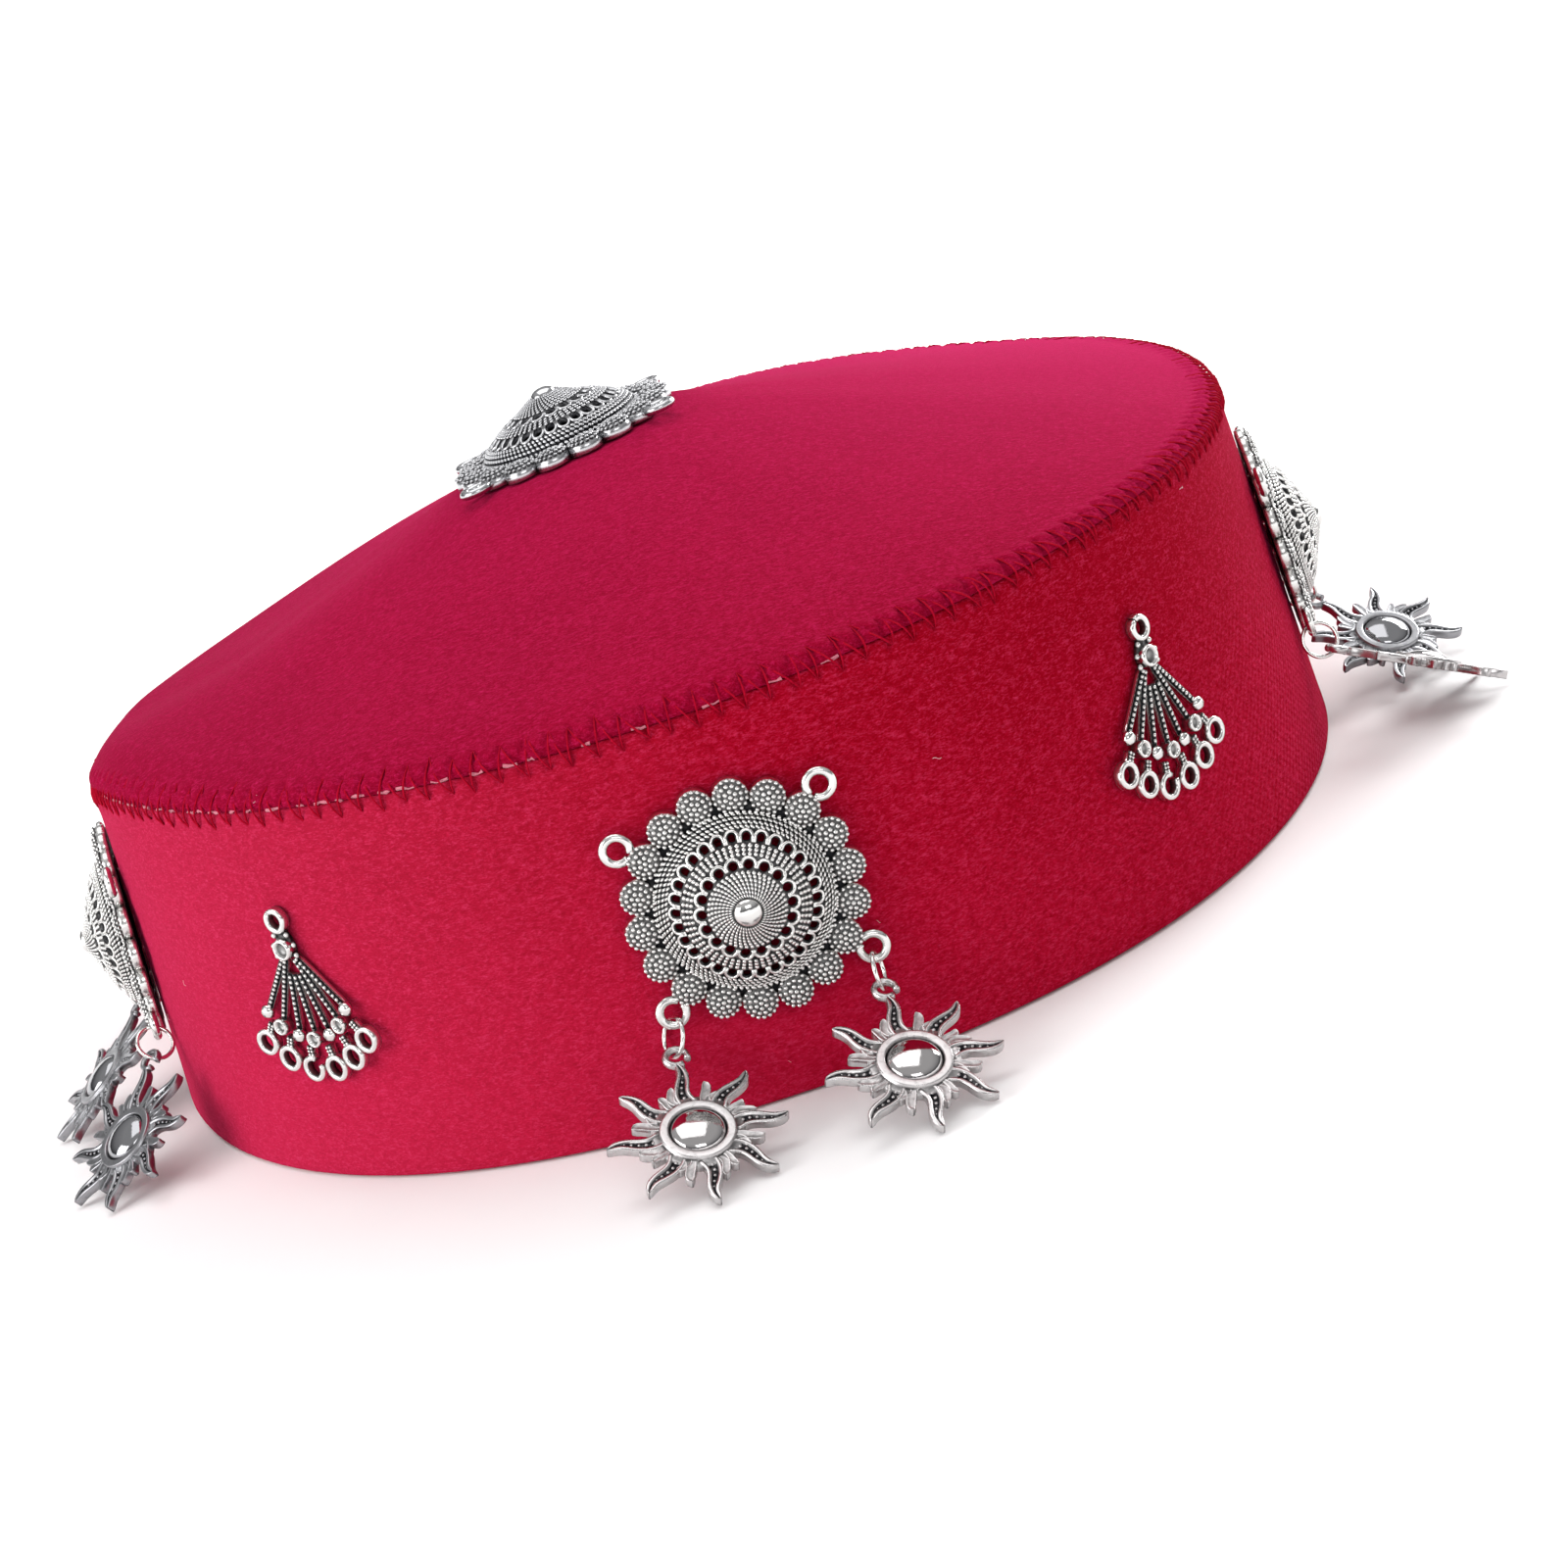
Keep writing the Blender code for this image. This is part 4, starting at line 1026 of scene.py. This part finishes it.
def short_ray(turn, fingers):
    """The fingers between two long rays."""
    parts = []
    for finger in fingers:
        centre = []
        half = []
        for i in range(11):
            s = i / 10.0
            radius = 4.6 + (finger.reach - 4.6) * s
            sway = math.degrees(0.22 * math.sin(math.tau * s * 0.8) / radius)
            centre.append(polar(radius, turn + finger.root + (finger.tip - finger.root) * s * s + sway))
            end = max(0.0, (s - 0.78) / 0.22)
            half.append((finger.half + 0.16 * (1.0 - s) ** 2) * math.sqrt(max(0.05, 1.0 - end * end)))
        parts.append(ribbon(centre, half, SUN_HALF, 0.2, 0.05, 0.62))
    return total(parts)


def build_sun_shape():
    parts = []
    for i in range(SUN_RAYS):
        turn = 90.0 + SUN_PITCH * i
        # the first ray reaches the loop
        parts.append(sun_ray(turn, SUN_TIP + (0.35 if i == 0 else 0.15)))
        parts.append(short_ray(turn + 0.5 * SUN_PITCH, HOOKED if i % 2 else FORKED))
    disc = (
        (4.0, -0.6, 0.3), (5.5, -0.6, 0.6), (5.62, -0.45, 0.7), (5.62, 0.38, 0.6), (5.4, 0.5, 0.7),
        (4.62, 0.5, 0.45), (4.58, 0.9, 0.95), (4.5, 0.98, 1.0), (4.36, 0.99, 0.85), (3.72, 0.99, 0.85),
        (3.6, 0.97, 1.0), (3.52, 0.88, 0.7), (3.48, 0.45, 0.02), (3.36, 0.4, 0.02),
    )
    parts.append(turned(disc, 48))
    turns = np.radians(np.arange(0.0, 86.0, 8.5))
    dome = [(3.38 * math.cos(a), 0.42 + 1.38 * math.sin(a)) for a in turns]
    parts.append(turned(dome, 48, relief=1.0, polish=1.0))
    loop = open_loop((0.0, SUN_LOOP_REACH, 0.0), SUN_LOOP_RADIUS, 0.44, -62.0, -318.0, 22, 8)
    loop.points[:, 2] *= 1.3
    parts.append(loop)
    return total(parts)


# The fan charm, in millimetres, from the centre of its top loop
CUP_DROP = 3.75
CHARM_THICK = 1.25
STRAND_PITCH = 0.74


def fan_place(angle, reach):
    t = math.radians(angle)
    return (reach * math.sin(t), -CUP_DROP - reach * math.cos(t))


def flat_ring(centre, outer, hole, start=0.0, sweep=360.0):
    """A thick cast ring with a rounded top, whole or with a split."""
    whole = sweep >= 360.0
    sides = 22
    turns = np.radians(start + sweep * np.arange(sides + (0 if whole else 1)) / sides)
    profile = (
        (outer - 0.05, 0.0, 0.3), (outer, 0.15, 0.7), (outer, CHARM_THICK - 0.25, 0.85),
        (outer - 0.12, CHARM_THICK - 0.05, 1.0), (0.5 * (outer + hole), CHARM_THICK, 1.0),
        (hole + 0.10, CHARM_THICK - 0.06, 1.0), (hole, CHARM_THICK - 0.25, 0.5), (hole, 0.1, 0.1),
        (hole + 0.08, 0.0, 0.1),
    )
    x, y = centre
    points = [[(x + r * math.cos(t), y + r * math.sin(t), z) for r, z, _ in profile] for t in turns]
    relief = np.array([[row[2] for row in profile]] * len(turns))
    return grid(np.array(points), close_rows=whole, relief=relief, caps=() if whole else (0, -1))


def low_strip(path, half, thick, lift, floor_relief):
    """A flat strip that lies low under grains."""
    strip = ribbon(path, half, thick, 0.1, 0.02, floor_relief)
    return strip.moved(Matrix.Translation((0.0, 0.0, lift)))


def build_charm_shape():
    parts = [flat_ring((0.0, 0.0), 1.75, 0.98, 132.0, 346.0)]
    # neck and cup
    right = ((1.2, -5.0), (1.45, -CUP_DROP), (1.15, -2.6), (0.55, -1.4))
    left = [(-x, y) for x, y in right[::-1]]
    parts.append(prism([*right, *left], 0.0, 0.75, 0.15))
    cup = ((1.45, 0.2, 0.5), (1.47, 1.2, 0.9), (1.38, 1.62, 1.0), (1.18, 1.70, 1.0), (1.02, 1.6, 0.9),
           (0.85, 1.25, 0.25), (0.5, 1.05, 0.35), (0.2, 1.0, 0.4))
    parts.append(turned(cup, 20, centre=(0.0, -CUP_DROP, 0.0)))

    def ball(x, y, z, radius):
        return Vector((x, y, z)), ACROSS, UPRIGHT, (radius,) * 3

    rows = []
    for sign in (-1.0, 1.0):
        rows += [ball(sign * 1.15, -1.95, 0.75, 0.42), ball(sign * 1.85, -3.35, 0.75, 0.40),
                 ball(sign * 1.75, -4.75, 0.75, 0.42)]
    # strands: a dark spine with a row of grains, and a bead or a bezel cup at its end
    ends = []
    for k in range(7):
        angle = 13.3 * (k - 3)
        shorter = 1.3 * (angle / 40.0) ** 2
        reach = 11.35 - shorter
        start = 3.9 if k in (2, 3, 4) else 1.9
        spine = [fan_place(angle, start - 0.2 + (reach + 0.6 - start) * i / 6.0) for i in range(7)]
        parts.append(low_strip(spine, [0.56] * 7, 0.30, 0.32, 0.03))
        for i in range(int((reach - start) / STRAND_PITCH) + 1):
            rows.append(ball(*fan_place(angle, start + 0.2 + STRAND_PITCH * i), 0.72, 0.28))
        centre = (*fan_place(angle, 12.45 - shorter), 0.0)
        if k % 2:
            bezel = ((1.12, 0.0, 0.4), (1.15, 0.9, 0.8), (1.13, 1.35, 0.95), (1.02, 1.52, 1.0),
                     (0.86, 1.52, 1.0), (0.72, 1.35, 0.9), (0.62, 1.0, 0.25), (0.3, 0.85, 0.4))
            ends.append(turned(bezel, 18, centre=centre))
        else:
            bead = ((0.72, 0.15, 0.3), (1.0, 0.5, 0.8), (1.0, 1.0, 0.95), (0.66, 1.42, 1.0))
            ends.append(turned(bead, 6, polish=0.5, centre=centre))
    parts += [grains(rows, 2, 0.05), *ends]
    # small rings along the lower edge, with clusters of grains that carry them
    clusters = []
    for i in range(6):
        angle = -35.25 + 14.1 * i
        reach = 17.0 - 1.3 * abs(angle) / 35.25
        split = (62.0, 316.0) if i == 2 else ()
        parts.append(flat_ring(fan_place(angle, reach), 1.84, 1.08, *split))
        foot = [fan_place(angle, reach - back) for back in (3.1, 2.2, 1.3)]
        parts.append(low_strip(foot, [0.62, 0.58, 0.6], 0.40, 0.40, 0.12))
        t = math.radians(angle)
        for row in range(3):
            x, y = fan_place(angle, reach - 2.85 + 0.47 * row)
            for aside in (-0.26, 0.26):
                clusters.append(ball(x + aside * math.cos(t), y + aside * math.sin(t), 0.88, 0.23))
    parts.append(grains(clusters, 2, 0.12))
    return total(parts)


# Places
def hat_direction(angle):
    turn = math.radians(angle)
    return Vector((math.sin(turn), -math.cos(turn), 0.0))


def frame_matrix(across, up, out, origin):
    matrix = Matrix((across, up, out)).transposed().to_4x4()
    matrix.translation = origin
    return matrix


def wall_matrix(angle, height, twist=0.0):
    point = Vector(wall(angle, height))
    across = (Vector(wall(angle + 0.5, height)) - Vector(wall(angle - 0.5, height))).normalized()
    upward = Vector(wall(angle, height + 0.001)) - Vector(wall(angle, height - 0.001))
    out = across.cross(upward).normalized()
    matrix = frame_matrix(across, out.cross(across), out, point + SEWN_GAP * out)
    return matrix @ Matrix.Rotation(math.radians(twist), 4, "Z")


def seat_matrix(twist):
    out = Vector((-SEAT_SLOPE_X, -SEAT_SLOPE_Y, 1.0)).normalized()
    across = Vector((1.0, 0.0, SEAT_SLOPE_X)).normalized()
    centre = Vector((SEAT_SHIFT_X, SEAT_SHIFT_Y, SEAT_HEIGHT))
    matrix = frame_matrix(across, out.cross(across), out, centre + SEWN_GAP * out)
    return matrix @ Matrix.Rotation(math.radians(twist), 4, "Z") @ Matrix.Scale(CROWN_MEDALLION_SCALE, 4)


def hang_ring(medallion, drop):
    """Centre, hanging direction and plane of the jump ring in a medallion's lower loop."""
    across, up, out = (medallion.to_3x3().col[i].normalized() for i in range(3))
    loop = medallion @ (Vector((*polar(LOOP_CENTRE, drop.loop), LOOP_LEVEL)) * MM)
    lean = math.radians(drop.ring_lean)
    swing = math.radians(drop.ring_swing)
    hang = out * math.sin(lean) + across * math.cos(lean) * math.sin(swing)
    hang = (hang - up * math.cos(lean) * math.cos(swing)).normalized()
    in_plane = (hang - out * hang.dot(out)).normalized()
    carried = loop + LOOP_RADIUS * MM * in_plane
    centre = carried + (RING_RADIUS - RING_WIRE - LOOP_WIRE - LINK_GAP) * MM * hang
    first = (out - hang * out.dot(hang)).normalized()
    second = hang.cross(first)
    turn = math.radians(drop.ring_turn)
    return centre, hang, first * math.cos(turn) + second * math.sin(turn)


def sun_matrix(drop, contact, lean):
    outward = hat_direction(drop.heading)
    tilt = math.radians(lean)
    up = Vector((0.0, 0.0, math.sin(tilt))) - outward * math.cos(tilt)
    side = up.cross(UPRIGHT).normalized()
    face = side.cross(up)
    roll = math.radians(drop.roll)
    across = side * math.cos(roll) - face * math.sin(roll)
    centre = contact - (SUN_LOOP_RADIUS + SUN_LOOP_REACH) * MM * up
    return frame_matrix(across, up, across.cross(up), centre)


def settled_sun(drop, contact):
    """Lean the sun until its lowest ray tip meets the floor."""
    turns = [90.0 + SUN_PITCH * (i + 0.065) for i in range(1, SUN_RAYS)]
    tips = [Vector((*polar(SUN_TIP, turn), -SUN_HALF)) * MM for turn in turns]
    low = 0.0
    high = 80.0
    for _ in range(40):
        middle = (low + high) / 2.0
        matrix = sun_matrix(drop, contact, middle)
        if min((matrix @ tip).z for tip in tips) > SUN_FLOOR_GAP * MM:
            low = middle
        else:
            high = middle
    return sun_matrix(drop, contact, low)


# Finishes
def velvet(kind, band):
    """Short plush: two close tones in drifts, fine lying pile, a faint pressed weave on the band, and painted
    sheen and shade.
    """
    material, nodes, shader = new_material(
        kind.name, Roughness=0.95, Sheen_Weight=0.08, Sheen_Roughness=0.40, Sheen_Tint=(1.0, 0.10, 0.42),
        Specular_IOR_Level=0.015,
    )
    place = nodes.place()
    x, y, z = nodes.axes(place)
    drift = nodes.noise(place, 38.0, 4.0, 0.6)
    lying = nodes.noise(nodes.stretched(place, kind.nap), 2100.0, 3.0, 0.65)
    hairs = nodes.noise(nodes.stretched(place, kind.nap), 5600.0, 2.0, 0.7)
    mottle = nodes.noise(place, 950.0, 3.0, 0.6)
    tone = (drift - 0.5) * 0.5 + (lying - 0.5) * 1.2 + (mottle - 0.5) * 0.8 + (hairs - 0.5) * 2.2 + 0.5
    if band:
        # the band's tone is darker towards its right side, painted shade, and lighter towards its foot
        tone = tone - x.between(0.01, 0.09) * 0.32 + z.between(0.042, 0.010) * 0.40 - 0.14
        # painted sheen: pinker towards the left, where the key light grazes the band
        painted_sheen = x.between(0.01, -0.11) * 0.50
    else:
        # the crown's tone is darker towards its left: painted shade
        tone = tone - x.between(-0.01, -0.10) * 0.55
        # painted sheen: a little pinker at the left and a broad pink patch at the back right
        painted_sheen = x.between(0.01, -0.11) * 0.16 + x.between(-0.07, 0.09) * y.between(-0.09, 0.08) * 0.92
    # the raised tone goes on the painted sheen and on pile tips that stand out at random
    pinker = painted_sheen + (hairs + lying - 1.0).between(0.0, 0.4) * 0.5
    colour = nodes.mixed(pinker.limited(), nodes.mixed(tone.limited(), kind.deep, kind.lively), kind.raised)
    # painted shade: the velvet turns a deeper tone in the creases where the thread pulls the pile in
    crease = nodes.attribute("relief").between(0.15, 0.85)
    colour = nodes.mixed(crease, tuple(c * 0.66 for c in kind.deep), colour)
    height = hairs * 0.5 + mottle * 0.5 + lying * 0.7
    if band:
        weave = ((x + y) * 3100.0).sin() * (z * 4600.0).sin()
        height = height + weave * (z.between(0.040, 0.014) * x.between(0.0, 0.035)) * 0.5
    feed(nodes, shader, Base_Color=colour, Normal=nodes.bump(height, 0.6, 0.00025))
    return material


def thread_finish():
    material, nodes, shader = new_material("red sewing thread", Roughness=0.7, Specular_IOR_Level=0.02)
    twist = nodes.noise(nodes.place(), 2600.0)
    colour = nodes.mixed(twist, *THREAD_TONES)
    feed(nodes, shader, Base_Color=colour, Normal=nodes.bump(twist, 0.5, 0.0001))
    return material


def lint_finish(name, colour):
    material, nodes, shader = new_material(name, Roughness=0.8, Sheen_Weight=0.3)
    patch = nodes.noise(nodes.place(), 300.0)
    feed(nodes, shader, Base_Color=nodes.mixed(patch, colour, tuple(c * 0.8 for c in colour)))
    return material


def cast_silver(kind):
    """Antique silver: black in the hollows, worn bright on what stands proud."""
    material, nodes, shader = new_material(kind.name, Metallic=1.0)
    place = nodes.place()
    polish = nodes.attribute("polish")
    patch = nodes.noise(place, 1400.0, 3.0, 0.6)
    fine = nodes.noise(place, 6000.0, 2.0, 0.6)
    plain = 1.0 - polish
    worn = (nodes.attribute("relief") + (patch - 0.5) * kind.wear * plain).between(0.1, 0.85)
    colour = nodes.mixed(worn, kind.dark, kind.bright)
    rough = (kind.roughness + (1.0 - worn) * 0.3 + (patch - 0.5) * 0.12) * plain + polish * kind.polished
    bump = nodes.bump(fine * 0.4 + patch * 0.8, 0.18, 0.00008)
    feed(nodes, shader, Base_Color=colour, Roughness=rough, Normal=bump)
    return material


def bright_wire():
    material, nodes, shader = new_material("bright wire", Metallic=1.0)
    drawn = nodes.noise(nodes.place(), 1800.0)
    colour = nodes.mixed(drawn, *WIRE_TONES)
    feed(nodes, shader, Base_Color=colour, Roughness=0.12 + drawn * 0.12)
    return material


def floor_finish():
    material, nodes, shader = new_material(
        "white paper", Roughness=0.7, Specular_IOR_Level=0.2, Emission_Strength=1.0)
    place = nodes.place()
    grain = nodes.noise(place, 40.0, 3.0)
    away = nodes.node("ShaderNodeVectorMath", {"operation": "LENGTH"}, {0: place}, out="Value")
    glow = nodes.mixed(away.between(0.16, 0.55), *PAPER_GLOW)
    feed(nodes, shader, Base_Color=nodes.mixed(grain, *PAPER_TONES), Emission_Color=glow)
    return material


def dressed(name, shape, material, slot, *nodes):
    """A finished piece on the hat's body, in place of its solids."""
    piece = linked(name, shape.mesh(name))
    piece.data.materials.append(material)
    finished(piece, slot, *nodes)
    return piece


def finished(piece, slot, *nodes):
    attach(piece, "root")
    if nodes:
        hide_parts(*nodes)


def make_hat():
    band_velvet = velvet(BAND_VELVET, True)
    crown_velvet = velvet(CROWN_VELVET, False)
    band = dressed("band_velvet", build_band_shape(), band_velvet, "band_velvet", "band")
    top = dressed("crown_velvet", build_crown_shape(), crown_velvet, "crown_velvet", "crown")
    finished(build_stitches(thread_finish()), "band_velvet")
    finished(build_flecks(lint_finish("pale lining edge", PALE_EDGE)), "band_velvet")
    for name, cloth, seed in (("band_lint", band, 11), ("crown_lint", top, 17)):
        lint = grow(cloth.data.copy(), FIBRES, seed=seed, material=lint_finish(name, LINT_TONE), **LINT)
        finished(linked(name, lint), "band_velvet")


def make_ornaments():
    scale = Matrix.Scale(MM, 4)
    silvers = (MEDALLION_SILVER, CHARM_SILVER, SUN_SILVER, CROWN_DARK_REFLECTION_SILVER, PAINTED_SHADE_SUN_SILVER)
    silver, charm_silver, sun_silver, crown_reflection_silver, shade_painted_sun_silver = [cast_silver(kind) for kind in silvers]
    bright = bright_wire()
    medallion = build_medallion_shape()
    seats = {place.name: wall_matrix(place.angle, place.height) for place in MEDALLIONS}
    placed = dict(seats, crown=seat_matrix(CROWN_MEDALLION_TWIST))
    for name, matrix in placed.items():
        node = "medallion_" + name
        # the crown medallion takes the darker silver: painted dark reflection
        finish = crown_reflection_silver if name == "crown" else silver
        dressed(node + "_cast", medallion.moved(matrix @ scale), finish, "cast_silver", node)
    sun = build_sun_shape()
    circle = [(*polar(RING_RADIUS, 360.0 * i / 28), 0.0) for i in range(28)]
    ring = wire(circle, RING_WIRE, 8, closed=True)
    for drop in DROPS:
        centre, hang, wide = hang_ring(seats[drop.medallion], drop)
        node = "ring_" + drop.name
        matrix = frame_matrix(hang, wide, hang.cross(wide), centre)
        dressed(node + "_wire", ring.moved(matrix @ scale), bright, "bright_wire", node)
        contact = centre + (RING_RADIUS - RING_WIRE - SUN_LOOP_WIRE - LINK_GAP) * MM * hang
        node = "sun_" + drop.name
        # three suns take the darker silver: painted shade
        finish = shade_painted_sun_silver if drop.name in SUNS_IN_PAINTED_SHADE else sun_silver
        dressed(node + "_cast", sun.moved(settled_sun(drop, contact) @ scale), finish, "sun_silver", node)
    charm = build_charm_shape()
    for row in CHARMS:
        node = "charm_" + row.name
        matrix = wall_matrix(row.angle, row.height, row.tilt)
        dressed(node + "_cast", charm.moved(matrix @ scale), charm_silver, "charm_silver", node)


def make_stage():
    """White paper that lies flat under the hat and curves up a little far away on all sides."""
    rows = [(0.6, 0.0), (1.2, 0.0), (2.1, 0.0)]
    rows += [(2.1 + 0.42 * math.sin(a), 0.42 - 0.42 * math.cos(a)) for a in np.radians(np.arange(10, 81, 10))]
    turns = np.arange(64) * math.tau / 64
    points = np.array([[(r * math.cos(t), r * math.sin(t), z - 0.0002) for t in turns] for r, z in rows])
    dish = grid(points, caps=(0,))
    floor = linked("paper", dish.mesh("paper"))
    floor.data.materials.append(floor_finish())


def add_light(lamp):
    data = bpy.data.lights.new(lamp.name, "AREA")
    data.shape = "RECTANGLE"
    data.size, data.size_y = lamp.size
    data.energy = lamp.power
    light = linked(lamp.name, data)
    light.location = lamp.place
    aim = Vector((0.0, 0.0, lamp.aim_height)) - Vector(lamp.place)
    light.rotation_euler = aim.to_track_quat("-Z", "Y").to_euler()


def make_world():
    """White above, dim towards the horizon, so that polished metal has something dark to show."""
    world = bpy.data.worlds.new("studio")
    bpy.context.scene.world = world
    world.use_nodes = True
    nodes = Nodes(world.node_tree)
    ray = nodes.node("ShaderNodeTexCoord", {}, {}, out="Generated")
    up = nodes.axes(ray)[2]
    shade = nodes.node("ShaderNodeValToRGB", {"stops": SKY}, {"Fac": up})
    background = world.node_tree.nodes["Background"]
    background.inputs["Strength"].default_value = SKY_STRENGTH
    nodes.tree.links.new(shade.socket, background.inputs["Color"])


def make_light():
    for lamp in LAMPS:
        add_light(lamp)
    make_world()
    bpy.context.scene.view_settings.view_transform = "Standard"


def make_camera():
    """The photograph's viewpoint: in front, a little to the right, 17 degrees up, and rolled."""
    turn = Matrix.Rotation(CAMERA_AZIMUTH, 3, "Z")
    back = turn @ Vector((0.0, -math.cos(CAMERA_ELEVATION), math.sin(CAMERA_ELEVATION)))
    right = turn @ ACROSS
    up = back.cross(right)
    across = right * math.cos(CAMERA_ROLL) - up * math.sin(CAMERA_ROLL)
    upward = right * math.sin(CAMERA_ROLL) + up * math.cos(CAMERA_ROLL)
    data = bpy.data.cameras.new("camera")
    data.sensor_fit = "HORIZONTAL"
    data.sensor_width = 36.0
    data.lens = CAMERA_LENS
    data.clip_start = 0.01
    camera = linked("camera", data)
    camera.matrix_world = frame_matrix(across, upward, back, CAMERA_PLACE)
    bpy.context.scene.camera = camera


make_stage()
make_hat()
make_ornaments()
make_light()
make_camera()
